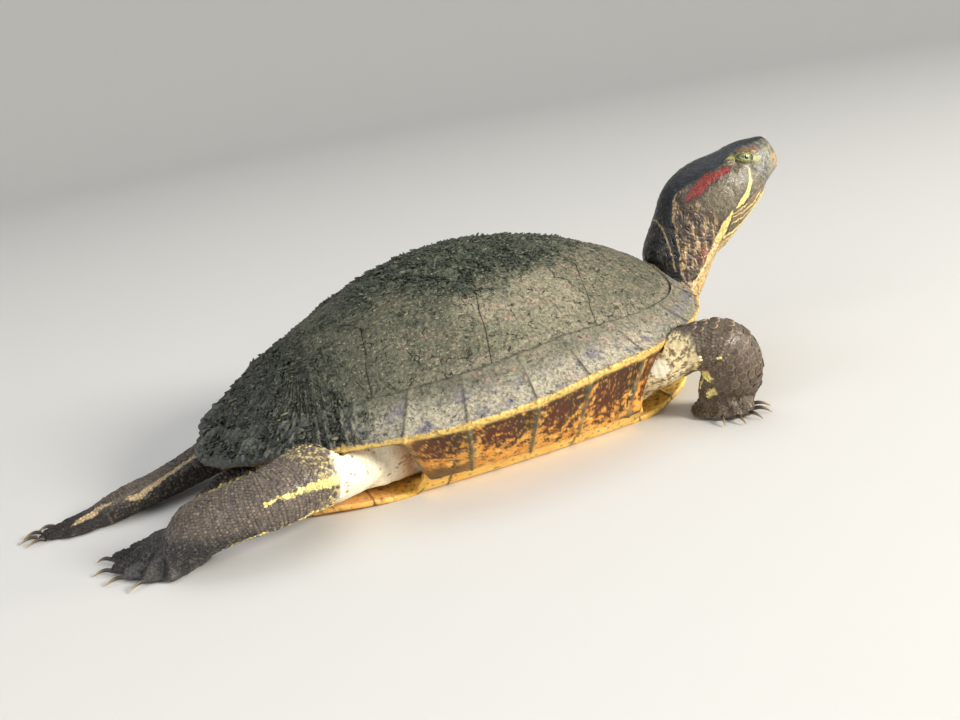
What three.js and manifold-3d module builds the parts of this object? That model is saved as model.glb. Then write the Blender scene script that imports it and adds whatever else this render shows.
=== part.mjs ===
// Red-eared slider (Trachemys scripta elegans), adult, life size, basking with its neck raised.
// Millimetres, +X towards the head, +Y to the animal's left, +Z up, floor at z = 0.
import * as THREE from "three";
import Module from "manifold-3d";

const wasm = await Module();
wasm.setup();

// ---- driving dimensions ----
const SHELL_LENGTH = 250;
const SHELL_WIDTH = 178;
const SHELL_HEIGHT = 91;
const SHELL_TAPER = 0.09; // the shell is wider behind its middle
const PEAK_FORWARD = 8.5; // the dome's top lies this far ahead of the middle
const DOME_ROUND = 1.95; // powers of the dome's profile
const DOME_FLAT = 1.1;
const NUCHAL_DIP = 9; // the front rim is set back over the neck
const NUCHAL_DIP_WIDTH = 30;
const RIM_STEP = 15; // degrees between the rim's heights, from front to rear
const RIM_HEIGHTS = [52.5, 46.5, 42, 40, 39.5, 39.5, 37, 36, 36, 35.5, 33, 28.5, 25];
const PLATE = 5; // thickness of the carapace
const RIM_PLATE = 3.6; // thickness of the turned-in underside of the rim
const GAP = 0.4; // clearance between touching pieces
const CUT = 0.4; // width of a parting cut
const MARGINAL_DEPTH = 17; // from the rim to the costal seam
const NUCHAL_HALF = 8; // half the nuchal plate's length along the rim
const MARGINALS = 12; // on each side

// The bridge joins the two shells between the legs; the plastron runs on in front and behind as lobes.
const BRIDGE_REAR = -46;
const BRIDGE_FRONT = 59;
const BRIDGE_MIDDLE = 5;
const BRIDGE_Y = 68;
const BRIDGE_Z = 10;
const PLASTRON_PLATE = 4;
const REAR_LOBE = 54; // half widths of the two lobes
const FRONT_LOBE = 52;
const REAR_LOBE_LENGTH = 67;
const FRONT_LOBE_LENGTH = 54;

const HALF = SHELL_LENGTH / 2;
const SIDE = SHELL_WIDTH / 2;
const DEG = Math.PI / 180;
const V = (x, y, z) => new THREE.Vector3(x, y, z);
const clamp01 = (u) => Math.min(1, Math.max(0, u));
const smooth = (a, b, x) => {
  const u = clamp01((x - a) / (b - a));
  return u * u * (3 - 2 * u);
};
const mix = (a, b, u) => a + (b - a) * u;

// ---- solids from rings ----
// Rings of equal count are joined in order; the ends close on `tips`, on their centres, or on each other.
function ringGeometry(rings, { loop = false, tips = [] } = {}) {
  const n = rings[0].length;
  const points = rings.flat();
  const index = [];
  const last = loop ? rings.length : rings.length - 1;
  for (let i = 0; i < last; i++) {
    const a = i * n;
    const b = ((i + 1) % rings.length) * n;
    for (let j = 0; j < n; j++) {
      const k = (j + 1) % n;
      index.push(a + j, a + k, b + k, a + j, b + k, b + j);
    }
  }
  if (!loop) {
    for (const [ring, flip, tip] of [[0, true, tips[0]], [rings.length - 1, false, tips[1]]]) {
      const centre = V(0, 0, 0);
      rings[ring].forEach((p) => centre.addScaledVector(p, 1 / n));
      const c = points.push(tip ?? centre) - 1;
      for (let j = 0; j < n; j++) {
        const a = ring * n + j;
        const b = ring * n + ((j + 1) % n);
        index.push(c, flip ? b : a, flip ? a : b);
      }
    }
  }
  return { points, index };
}

function volumeOf({ points, index }) {
  let v = 0;
  for (let i = 0; i < index.length; i += 3) {
    const [a, b, c] = [points[index[i]], points[index[i + 1]], points[index[i + 2]]];
    v += a.dot(V(0, 0, 0).crossVectors(b, c)) / 6;
  }
  return v;
}

function solid(made) {
  const index = [...made.index];
  if (volumeOf(made) < 0) index.reverse();
  return new wasm.Manifold(new wasm.Mesh({
    numProp: 3,
    vertProperties: new Float32Array(made.points.flatMap((p) => [p.x, p.y, p.z])),
    triVerts: new Uint32Array(index),
  }));
}

// The same surface with every face moved outward, to cut a clearance round a piece.
function grown(made, by) {
  const sign = volumeOf(made) >= 0 ? 1 : -1;
  const normals = made.points.map(() => []);
  for (let i = 0; i < made.index.length; i += 3) {
    const corners = made.index.slice(i, i + 3);
    const [a, b, c] = corners.map((k) => made.points[k]);
    const normal = V(0, 0, 0).crossVectors(b.clone().sub(a), c.clone().sub(a)).multiplyScalar(sign);
    if (normal.length() > 1e-6) corners.forEach((k) => normals[k].push(normal.normalize()));
  }
  const points = made.points.map((p, i) => {
    const move = V(0, 0, 0);
    for (let pass = 0; pass < 40; pass++) {
      for (const n of normals[i]) move.addScaledVector(n, Math.max(0, 1 - move.dot(n)));
    }
    return p.clone().addScaledVector(move.clampLength(0, 3), by);
  });
  return { points, index: made.index };
}

const joined = (solids) => solids.reduce((a, b) => a.add(b));

// A box at `at` whose z axis points along `along`.
function block(at, along, [dx, dy, dz], hint = V(0, 1, 0)) {
  const w = along.clone().normalize();
  const u = hint.clone().addScaledVector(w, -hint.dot(w)).normalize();
  const v = V(0, 0, 0).crossVectors(w, u);
  const ring = (s) => [[-1, -1], [1, -1], [1, 1], [-1, 1]].map(([i, j]) =>
    at.clone().addScaledVector(u, (i * dx) / 2).addScaledVector(v, (j * dy) / 2)
      .addScaledVector(w, (s * dz) / 2));
  return solid(ringGeometry([ring(-1), ring(1)]));
}

// A body along stations { at, w, h, low, square }: half width, half height above and below the
// path, and how square the section is. `hint`, or a station's own `wide`, is where the width lies.
function loftRings(stations, hint, count) {
  const at = stations.map((s) => V(...s.at));
  return stations.map((s, i) => {
    const along = at[Math.min(i + 1, at.length - 1)].clone().sub(at[Math.max(i - 1, 0)]).normalize();
    const wide = s.wide ? V(...s.wide) : hint;
    const side = wide.clone().addScaledVector(along, -wide.dot(along)).normalize();
    const up = V(0, 0, 0).crossVectors(along, side).normalize();
    const power = 2 / (s.square ?? 2.2);
    return Array.from({ length: count }, (_, k) => {
      const a = (2 * Math.PI * (k + 0.5)) / count;
      const c = Math.cos(a);
      const d = Math.sin(a);
      const half = d > 0 ? s.h : s.low ?? s.h;
      return at[i].clone()
        .addScaledVector(side, s.w * Math.sign(c) * Math.abs(c) ** power)
        .addScaledVector(up, half * Math.sign(d) * Math.abs(d) ** power);
    });
  });
}
const loft = (stations, hint, count = 12) => solid(ringGeometry(loftRings(stations, hint, count)));

// ---- carapace surface ----
const planPower = (c) => 1.98 + 0.16 * c;

function dip(x, y, t) {
  return x > 0 ? NUCHAL_DIP * Math.exp(-((y / NUCHAL_DIP_WIDTH) ** 2)) * t ** 5 : 0;
}

// The plan position at angle a (0 is the front) and fraction t from the peak to the rim.
function plan(a, t) {
  const c = Math.cos(a);
  const s = Math.sin(a);
  const n = planPower(c);
  const r = t * (Math.abs(c) ** n + Math.abs(s) ** n) ** (-1 / n);
  const u = r * c;
  const y = r * s * SIDE * (1 - SHELL_TAPER * u);
  return [u * HALF + PEAK_FORWARD * (1 - t) - dip(u, y, t), y];
}

function rimHeight(a) {
  const turn = Math.abs(Math.atan2(Math.sin(a), Math.cos(a))) / (RIM_STEP * DEG);
  const i = Math.min(RIM_HEIGHTS.length - 2, Math.floor(turn));
  return mix(RIM_HEIGHTS[i], RIM_HEIGHTS[i + 1], turn - i);
}

function domeHeight(a, t) {
  const rim = rimHeight(a);
  return rim + (SHELL_HEIGHT - rim) * Math.max(0, 1 - t ** DOME_ROUND) ** DOME_FLAT;
}

// The angle and fraction of a plan position.
function polar(x, y) {
  let t = 0.5;
  let a = 0;
  for (let i = 0; i < 30; i++) {
    const u = (x - PEAK_FORWARD * (1 - t) + dip(x, y, t)) / HALF;
    const v = y / (SIDE * (1 - SHELL_TAPER * u));
    a = Math.atan2(v, u);
    const n = planPower(Math.cos(a));
    t = 0.5 * t + 0.5 * (Math.abs(u) ** n + Math.abs(v) ** n) ** (1 / n);
  }
  return [a, t];
}

function heightAt(x, y) {
  const [a, t] = polar(x, y);
  return domeHeight(a, Math.min(1, t));
}

// Angles of the marginal seams along the left rim, from the nuchal plate to the tail.
function marginalAngles() {
  const steps = 720;
  const length = [0];
  for (let i = 1; i <= steps; i++) {
    const [x0, y0] = plan(((i - 1) / steps) * Math.PI, 1);
    const [x1, y1] = plan((i / steps) * Math.PI, 1);
    length.push(length[i - 1] + Math.hypot(x1 - x0, y1 - y0));
  }
  const each = (length[steps] - NUCHAL_HALF) / MARGINALS;
  return Array.from({ length: MARGINALS + 1 }, (_, k) => {
    const want = NUCHAL_HALF + k * each;
    const i = Math.min(steps, length.findIndex((s) => s >= want - 1e-6));
    return (i / steps) * Math.PI;
  });
}
const SEAMS = marginalAngles();

// Rim directions on both sides: each seam, and the middle of a plate where the rim curves tightly.
function rimDirections() {
  const left = [0];
  SEAMS.forEach((a, i) => {
    left.push(a);
    const curved = i < 3 || i > SEAMS.length - 5;
    if (curved && i < SEAMS.length - 1) left.push(mix(a, SEAMS[i + 1], 0.5));
  });
  const right = left.slice(1, -1).map((a) => 2 * Math.PI - a).reverse();
  return [...left, ...right];
}
const DIRECTIONS = rimDirections();

const bridgeShare = (x) => smooth(BRIDGE_REAR - 8, BRIDGE_REAR + 3, x)
  * (1 - smooth(BRIDGE_FRONT - 3, BRIDGE_FRONT + 8, x));
const bridgeY = (x) => BRIDGE_Y - 3 * ((x - BRIDGE_MIDDLE) / 55) ** 2;

// The seam between the costal and the marginal plates, as a fraction of the way to the rim.
const seamRing = (a) => {
  const [x, y] = plan(a, 1);
  return 1 - (MARGINAL_DEPTH - 4 * Math.cos(a) ** 2) / Math.hypot(x, y);
};

// Where the turned-in underside of the rim ends, seen in plan and height.
function undersideEnd(a) {
  const [ux, y] = plan(a, Math.max(0.86, seamRing(a) + 0.02));
  const share = bridgeShare(ux);
  const uy = mix(y, Math.sign(y) * bridgeY(ux), share);
  return [ux, uy, mix(rimHeight(a) - 3, BRIDGE_Z, share)];
}

// The turned-in rim in one direction, from its upper edge round to the inside of the plate.
function rimSection(a) {
  const at = (t, z) => V(...plan(a, t), z);
  const rim = rimHeight(a);
  const end = V(...undersideEnd(a));
  const sag = bridgeShare(end.x) * 1.5;
  const under = at(0.94, 0).lerp(end, 0.35).setZ(mix(rim - 3, end.z, 0.5) - sag);
  const lid = end.clone().add(V(0, 0, RIM_PLATE));
  const inside = at(0.93, Math.max(domeHeight(a, 0.93) - PLATE - 1, rim + 0.9));
  return [at(1, rim), at(0.99, rim - 2.4), under, end, lid, inside];
}

// The whole carapace, undivided.
function carapaceSurface() {
  const domeRing = (t, down) => DIRECTIONS.map((a) => V(...plan(a, t), domeHeight(a, t) - down));
  const sections = DIRECTIONS.map(rimSection);
  const rings = [
    ...[0.28, 0.52, 0.74, 0.9].map((t) => domeRing(t, 0)),
    ...sections[0].map((_, i) => sections.map((section) => section[i])),
    domeRing(0.72, PLATE),
    domeRing(0.4, PLATE),
  ];
  const tips = [V(PEAK_FORWARD, 0, SHELL_HEIGHT), V(PEAK_FORWARD, 0, SHELL_HEIGHT - PLATE)];
  return ringGeometry(rings, { tips });
}
const CARAPACE = carapaceSurface();

// ---- the horny plates of the carapace ----
const VERTEBRAL_EDGE = [ // x, y of the corners on the left, from the front to the rear
  [103.5, 24], [75, 22], [54, 30], [25, 24], [3, 31], [-27, 24], [-50, 29], [-80, 20], [-100, 29],
];
const COSTAL_SEAM_X = [95, 42, -11, -61, -92]; // where the costal plates' seams meet the marginal ones

// The seam ring as a plan line, from the nuchal plate round the left side to the tail.
const RING = DIRECTIONS.filter((a) => a <= Math.PI + 1e-9).map((a) => plan(a, seamRing(a)));

// The place on the ring at a given x, as a fractional index along it.
function ringIndex(x) {
  const i = RING.findIndex((p, k) => k + 1 < RING.length && p[0] >= x && RING[k + 1][0] < x);
  return i + (RING[i][0] - x) / (RING[i][0] - RING[i + 1][0]);
}

function ringAt(k) {
  const i = Math.min(RING.length - 2, Math.floor(k));
  return [mix(RING[i][0], RING[i + 1][0], k - i), mix(RING[i][1], RING[i + 1][1], k - i)];
}

// The stretch of the ring between two fractional indices, with every corner of the ring in it.
function arc(from, to) {
  const inside = [];
  for (let k = Math.ceil(from + 1e-6); k < to - 1e-6; k++) inside.push(ringAt(k));
  return [ringAt(from), ...inside, ringAt(to)];
}

// `count` points evenly along a line, the nearest of them moved onto each of its corners.
function spaced(line, count) {
  const at = [0];
  for (let i = 1; i < line.length; i++) {
    at.push(at[i - 1] + Math.hypot(line[i][0] - line[i - 1][0], line[i][1] - line[i - 1][1]));
  }
  const total = at[at.length - 1];
  const wanted = Array.from({ length: count }, (_, i) => (total * i) / (count - 1));
  at.slice(1, -1).forEach((corner) => {
    const gaps = wanted.slice(1, -1).map((w) => Math.abs(w - corner));
    wanted[1 + gaps.indexOf(Math.min(...gaps))] = corner;
  });
  return wanted.map((w) => {
    const i = Math.min(line.length - 2, Math.max(0, at.findIndex((d) => d > w + 1e-9) - 1));
    const k = w >= total - 1e-9 ? line.length - 2 : i;
    const u = (w - at[k]) / (at[k + 1] - at[k]);
    return [mix(line[k][0], line[k + 1][0], u), mix(line[k][1], line[k + 1][1], u)];
  });
}

// A plate between four plan lines: inner and outer run alike, front and rear join their ends.
function plateSolid({ inner, outer, front, rear }, along, across) {
  const [a, b] = [spaced(inner, along), spaced(outer, along)];
  const [c, d] = [spaced(front, across), spaced(rear, across)];
  const grid = a.map((_, i) => c.map((__, j) => [0, 1].map((k) => {
    const u = i / (along - 1);
    const v = j / (across - 1);
    const corners = mix(mix(a[0][k], b[0][k], v), mix(a[along - 1][k], b[along - 1][k], v), u);
    return mix(a[i][k], b[i][k], v) + mix(c[j][k], d[j][k], u) - corners;
  })));
  const inset = (i, j) => {
    const p = grid[i][j];
    const i2 = i === 0 ? 1 : i === along - 1 ? along - 2 : i;
    const j2 = j === 0 ? 1 : j === across - 1 ? across - 2 : j;
    const q = [...p];
    for (const to of [grid[i2][j], grid[i][j2]]) {
      const far = Math.hypot(to[0] - p[0], to[1] - p[1]);
      if (far > 1e-9) [0, 1].forEach((k) => { q[k] += ((to[k] - p[k]) / far) * CUT * 0.65; });
    }
    return q;
  };
  const points = [];
  for (const down of [0, PLATE]) {
    for (let i = 0; i < along; i++) {
      for (let j = 0; j < across; j++) {
        const [x, y] = inset(i, j);
        points.push(V(x, y, heightAt(x, y) - down));
      }
    }
  }
  const index = [];
  const half = along * across;
  const quad = (p, q, r, t) => index.push(p, q, r, p, r, t);
  for (let i = 0; i < along - 1; i++) {
    for (let j = 0; j < across - 1; j++) {
      const k = i * across + j;
      quad(k, k + across, k + across + 1, k + 1);
      quad(half + k, half + k + 1, half + k + across + 1, half + k + across);
    }
  }
  const edge = [];
  for (let i = 0; i < along - 1; i++) edge.push(i * across);
  for (let j = 0; j < across - 1; j++) edge.push((along - 1) * across + j);
  for (let i = along - 1; i > 0; i--) edge.push(i * across + across - 1);
  for (let j = across - 1; j > 0; j--) edge.push(j);
  edge.forEach((k, i) => {
    const next = edge[(i + 1) % edge.length];
    quad(next, k, half + k, half + next);
  });
  return solid({ points, index });
}

const mirrored = (line, s) => line.map(([x, y]) => [x, s * y]);

// The vertebral plates' left edge, with its first and last corners on the ring.
const FIRST_CORNER = ringIndex(VERTEBRAL_EDGE[0][0]);
const LAST_CORNER = ringIndex(VERTEBRAL_EDGE[VERTEBRAL_EDGE.length - 1][0]);
const EDGE = [ringAt(FIRST_CORNER), ...VERTEBRAL_EDGE.slice(1, -1), ringAt(LAST_CORNER)];

function vertebralPlates() {
  // from the left over the midline to the right, given the half from the midline outwards
  const whole = (half) => [...[...half].reverse(), ...mirrored(half, -1).slice(1)];
  const seam = ([x, y]) => [[x, y], [x, -y]];
  const corners = [[0, 1], [1, 3], [3, 5], [5, 7], [7, 8]];
  const plates = {};
  corners.forEach(([i, k], n) => {
    const left = EDGE.slice(i, k + 1);
    const atEnd = n === 0 || n === corners.length - 1;
    plates["vertebral_" + (n + 1)] = plateSolid({
      inner: left,
      outer: mirrored(left, -1),
      front: n === 0 ? whole(arc(0, FIRST_CORNER)) : seam(EDGE[i]),
      rear: n === 4 ? whole(arc(LAST_CORNER, RING.length - 1).reverse()) : seam(EDGE[k]),
    }, atEnd ? 4 : 5, 7);
  });
  return plates;
}

function costalPlates() {
  const ends = COSTAL_SEAM_X.map(ringIndex);
  const plates = {};
  [[0, 2], [2, 4], [4, 6], [6, 8]].forEach(([i, k], n) => {
    const seam = (corner, end) => [corner, ringAt(end)];
    const sides = {
      inner: EDGE.slice(i, k + 1),
      outer: arc(ends[n], ends[n + 1]),
      front: n === 0 ? arc(FIRST_CORNER, ends[0]) : seam(EDGE[i], ends[n]),
      rear: n === 3 ? arc(ends[4], LAST_CORNER).reverse() : seam(EDGE[k], ends[n + 1]),
    };
    for (const [tag, s] of [["left", 1], ["right", -1]]) {
      const placed = {};
      for (const [key, line] of Object.entries(sides)) placed[key] = mirrored(line, s);
      plates["costal_" + tag + "_" + (n + 1)] = plateSolid(placed, 6, 5);
    }
  });
  return plates;
}

// The rim's plates over a run of directions: the section of the turned-in rim, swept.
function rimPlates(angles) {
  const rings = angles.map((a) => {
    const inset = seamRing(a) + (0.6 * CUT) / SIDE;
    const at = (t, down) => V(...plan(a, t), domeHeight(a, t) - down);
    return [at(inset, 0), at(0.93, 0), ...rimSection(a), at(inset, PLATE)];
  });
  return solid(ringGeometry(rings));
}

function marginalPlates() {
  const trim = (0.65 * CUT) / SIDE;
  const left = DIRECTIONS.filter((a) => a >= SEAMS[0] - 1e-9 && a <= Math.PI + 1e-9);
  left[0] += trim;
  left[left.length - 1] -= trim;
  const right = left.map((a) => -a).reverse();
  return {
    marginals_left: rimPlates(left),
    marginals_right: rimPlates(right),
    nuchal: rimPlates([-SEAMS[0] + trim, 0, SEAMS[0] - trim]),
  };
}

// ---- plastron ----
function plastronHalf(x) {
  if (x < BRIDGE_REAR) return REAR_LOBE * (1 - ((BRIDGE_REAR - x) / REAR_LOBE_LENGTH) ** 2.6) ** 0.5;
  if (x > BRIDGE_FRONT) return FRONT_LOBE * (1 - ((x - BRIDGE_FRONT) / FRONT_LOBE_LENGTH) ** 2.4) ** 0.5;
  return bridgeY(x) + 0.8; // trimmed by the rim's underside
}

function plastronLow(x, y) {
  const side = Math.abs(y);
  const front = x > 64 ? 9 * ((x - 64) / 48) ** 2 + 4 * smooth(64, 100, x) * (side / FRONT_LOBE) ** 3 : 0;
  const rear = x < -50 ? 3 * smooth(-50, -90, x) * (side / REAR_LOBE) ** 4 : 0;
  return front + rear;
}

function plastronSurface() {
  const stations = [-112.4, -109, -101, -86, -66, BRIDGE_REAR - 2.5, BRIDGE_REAR,
    -22, 5, 32, BRIDGE_FRONT, BRIDGE_FRONT + 2.5, 78, 92, 103, 109.5, 112.3];
  const across = [-1, -0.9, -0.76, 0.76, 0.9, 1];
  const rings = stations.map((x) => {
    const bridge = x >= BRIDGE_REAR && x <= BRIDGE_FRONT;
    const half = plastronHalf(x);
    const low = (u) => {
      const side = Math.abs(u);
      const rise = bridge ? (BRIDGE_Z - GAP / 2) * smooth(0.78, 1, side) : 0;
      return plastronLow(x, u * half) + rise;
    };
    const thick = (u) => (bridge ? PLASTRON_PLATE : mix(PLASTRON_PLATE, 2.4, u ** 6));
    return [
      ...across.map((u) => V(x, u * half, low(u))),
      ...[...across].reverse().map((u) => V(x, u * half, low(u) + thick(u))),
    ];
  });
  return ringGeometry(rings);
}
const PLASTRON = plastronSurface();

// Where each seam meets the side, and how far its middle is set back.
const PLASTRON_SEAMS = [[84, -6], [64, 3], [26, 2], [-33, -2], [-66, 6]];

function plastronPlates() {
  let shell = solid(PLASTRON).subtract(solid(grown(CARAPACE, GAP)));
  for (const [x, back] of PLASTRON_SEAMS) {
    const line = [[x, -90], [x - back / 2, -22], [x - back, 0], [x - back / 2, 22], [x, 90]];
    const rings = line.map(([px, y]) => [V(px - CUT / 2, y, -3), V(px + CUT / 2, y, -3),
      V(px + CUT / 2, y, 40), V(px - CUT / 2, y, 40)]);
    shell = shell.subtract(solid(ringGeometry(rings)));
  }
  return shell;
}

// ---- trunk: the body between the two shells, seen in the leg pockets ----
function trunkSolid() {
  const count = 30;
  const angles = Array.from({ length: count }, (_, i) => (2 * Math.PI * (i + 0.5)) / count);
  const reach = (a) => {
    const turn = Math.abs(Math.atan2(Math.sin(a), Math.cos(a))) / DEG;
    return mix(0.76, 0.85, smooth(5, 35, turn)) - 0.03 * smooth(150, 175, turn);
  };
  const bridgeAt = (a, k) => bridgeShare(plan(a, k)[0] * 1.02);
  const side = (a, open, inside, zOpen, zInside) => {
    const share = bridgeAt(a, inside);
    const k = mix(open, inside, share);
    const [x, y] = plan(a, k);
    return V(x, y, mix(zOpen, zInside, share));
  };
  const rings = [0.4, 0.72].map((t) => angles.map((a) => {
    const [x, y] = plan(a, t);
    return V(x, y, domeHeight(a, t) - PLATE - 2);
  }));
  rings.push(angles.map((a) => side(a, reach(a), 0.73, rimHeight(a) - 1, 30)));
  rings.push(angles.map((a) => side(a, reach(a) + 0.01, 0.7, mix(rimHeight(a), 4, 0.4), 16)));
  // the lower edge: over the lip of the plastron in the pockets, clear of it along the bridge
  for (const [inward, inside, open, lift] of [[0.03, 0.66, 7, 4], [0.12, 0.58, -3, 0.5]]) {
    rings.push(angles.map((a) => {
      const p = side(a, reach(a) - inward, inside, 0, 0);
      const half = plastronHalf(THREE.MathUtils.clamp(p.x, -110, 110)) + open;
      if (bridgeAt(a, inside) < 0.5) p.y = Math.sign(p.y) * Math.min(Math.abs(p.y), half);
      return p.setZ(plastronLow(p.x, p.y) + PLASTRON_PLATE + lift);
    }));
  }
  return solid(ringGeometry(rings));
}

// ---- head frame: at the level of the eyes, turned to the right and raised ----
const HEAD_AT = V(160.7, -7.6, 100.8);
const HEAD_TURN = 12 * DEG;
const HEAD_RAISE = 20 * DEG;
const HEAD_AHEAD = V(
  Math.cos(HEAD_TURN) * Math.cos(HEAD_RAISE),
  -Math.sin(HEAD_TURN) * Math.cos(HEAD_RAISE),
  Math.sin(HEAD_RAISE),
);
const HEAD_LEFT = V(Math.sin(HEAD_TURN), Math.cos(HEAD_TURN), 0);
const HEAD_UP = V(0, 0, 0).crossVectors(HEAD_AHEAD, HEAD_LEFT);
const inHead = (a, left, up) => HEAD_AT.clone().addScaledVector(HEAD_AHEAD, a)
  .addScaledVector(HEAD_LEFT, left).addScaledVector(HEAD_UP, up);

// Distance ahead of the eyes, top, bottom, half width, squareness.
const HEAD_SECTIONS = [
  [-35, 7, -38, 16.5, 2.2],
  [-27, 8.4, -36.5, 17.8, 2.3],
  [-19, 8.6, -34, 18.6, 2.4],
  [-11, 7.6, -31, 18, 2.5],
  [-4, 6.6, -27.5, 16, 2.6],
  [3, 6.2, -24.8, 13.6, 2.6],
  [9, 5, -21.8, 11, 2.5],
  [14, 3.4, -18.6, 8.2, 2.4],
  [17.2, 1.4, -15.6, 5.6, 2.3],
  [18.6, -3, -12.5, 2.6, 2.2],
];

function headSolid() {
  const count = 16;
  const rings = HEAD_SECTIONS.map(([a, top, low, w, square]) => {
    const mid = (top + low) / 2;
    const half = (top - low) / 2;
    return Array.from({ length: count }, (_, k) => {
      const turn = (2 * Math.PI * (k + 0.5)) / count;
      const c = Math.cos(turn);
      const s = Math.sin(turn);
      const p = 2 / square;
      // the crown is narrower than the jaw
      const narrow = 1 - 0.12 * Math.max(0, s);
      const left = w * narrow * Math.sign(c) * Math.abs(c) ** p;
      return inHead(a, left, mid + half * Math.sign(s) * Math.abs(s) ** p);
    });
  });
  return solid(ringGeometry(rings));
}

const NECK = [
  { at: [84, 0, 33], w: 17, h: 13 },
  { at: [104, 0, 35.5], w: 18.5, h: 12 },
  { at: [117, -0.4, 39], w: 18.5, h: 14, low: 11.5 },
  { at: [125, -1, 47], w: 17.5, h: 19, low: 11 },
  { at: [129, -1.6, 57], w: 17, h: 22.5, low: 13 },
  { at: [132.5, -2.3, 67], w: 17, h: 21, low: 16.5 },
  { at: [138.6, -3, 78], w: 16.8, h: 19, low: 19.5 },
  { at: [147, -5, 89], w: 15, h: 14, low: 18 },
];

const EYE_RADIUS = 4.5;
const EYE_SIDE = 10.2; // from the head's middle plane
const EYE_UP = -0.4;
const MOUTH_UP = -17; // height of the mouth line below the eyes
const MOUTH_BACK = -13; // the corner of the mouth, behind the eyes

function eyeSolid(side, grow) {
  const geometry = new THREE.SphereGeometry(EYE_RADIUS + grow, 10, 7);
  const { widthSegments: count, heightSegments: rows } = geometry.parameters;
  const centre = inHead(0, side * EYE_SIDE, EYE_UP);
  const rings = [];
  for (let i = 1; i < rows; i++) {
    rings.push(Array.from({ length: count }, (_, j) => (
      V(0, 0, 0).fromBufferAttribute(geometry.attributes.position, i * (count + 1) + j).add(centre)
    )));
  }
  return solid(ringGeometry(rings));
}

// ---- limbs ----
const FORELEG = [ // the left one
  { at: [56, 42, 24], w: 13, h: 12, wide: [0.77, -0.64, 0] },
  { at: [72, 60, 27.5], w: 13, h: 11, wide: [0.77, -0.64, 0] },
  { at: [85.5, 74, 35], w: 12, h: 10.5, wide: [0.82, -0.57, 0] },
  { at: [94, 81, 34], w: 12, h: 11, wide: [0.95, -0.2, 0] },
  { at: [97.5, 81, 25.5], w: 13, h: 9.5, wide: [0.96, 0.2, 0] },
  { at: [97.5, 76.5, 15], w: 14, h: 8, wide: [0.93, 0.37, 0] },
  { at: [96, 70, 5.2], w: 12, h: 5, wide: [0.93, 0.37, 0] },
];
const FORELEG_RIGHT = FORELEG.map(({ at: [x, y, z] }) => ({ at: [x, -y, z] })); // its middle line

// the skin that fills the gap between the bridge, the front lobe and the left foreleg
const SHOULDER = [
  { at: [44, 39, 17], w: 13, h: 12 },
  { at: [61, 42, 17.5], w: 13.5, h: 12.5 },
  { at: [78, 44, 21], w: 11, h: 11 },
];

const HINDLEG_RIGHT = [
  { at: [-66, -40, 22], w: 20, h: 15 },
  { at: [-82, -55, 24], w: 17, h: 14.5 },
  { at: [-96, -65, 25], w: 15, h: 13 },
  { at: [-110, -70, 24], w: 13.5, h: 12 },
  { at: [-127, -66, 21], w: 13, h: 11 },
  { at: [-140, -58, 16], w: 13.5, h: 10.5 },
  { at: [-148, -51, 8], w: 12, h: 7 },
];
const HINDLEG_LEFT = [
  { at: [-66, 38, 21], w: 20, h: 15 },
  { at: [-87, 46, 17], w: 16, h: 12.5 },
  { at: [-103, 45, 14.5], w: 14, h: 10 },
  { at: [-120, 40, 11], w: 12, h: 8 },
  { at: [-140, 33, 8.5], w: 11.5, h: 6.5 },
  { at: [-158, 29, 7], w: 11, h: 5.8 },
  { at: [-170, 29.5, 5], w: 10, h: 4.4 },
];
const TAIL = [
  { at: [-92, 0, 15], w: 13, h: 10 },
  { at: [-108, 0, 12], w: 10, h: 8 },
  { at: [-120, -1, 8.6], w: 7, h: 6.2 },
  { at: [-130, -3, 5.6], w: 4.6, h: 4.4 },
  { at: [-139, -6, 3.2], w: 2.8, h: 2.8 },
  { at: [-146, -9, 1.8], w: 1.3, h: 1.4 },
];

// A webbed foot flat on the floor: toes [direction in degrees, reach], a heel, the height at the
// ankle, how far the web reaches between the toes, and the claws of the first `clawed` toes.
const FEET = {
  foreleg_right: { at: [96, -67], heel: 14, high: 15, web: 0.82, clawed: 5, claw: 6.5,
    toes: [[-118, 17], [-98, 20], [-79, 20.5], [-60, 19.5], [-41, 17]] },
  foreleg_left: { at: [96, 67], heel: 14, high: 15, web: 0.82, clawed: 5, claw: 6.5,
    toes: [[112, 17], [92, 20], [73, 20.5], [54, 19.5], [35, 17]] },
  hindleg_right: { at: [-144, -48], heel: 10.5, high: 16.5, web: 0.86, clawed: 4, claw: 6,
    toes: [[139, 39], [157, 34], [177, 28], [205, 23], [237, 20]] },
  hindleg_left: { at: [-166, 29.5], heel: 9, high: 8.5, web: 0.88, clawed: 4, claw: 6,
    toes: [[160, 28], [169, 33], [178, 34.5], [188, 32], [202, 25]] },
};

const TOE_WIDTH = 5.2;

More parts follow.
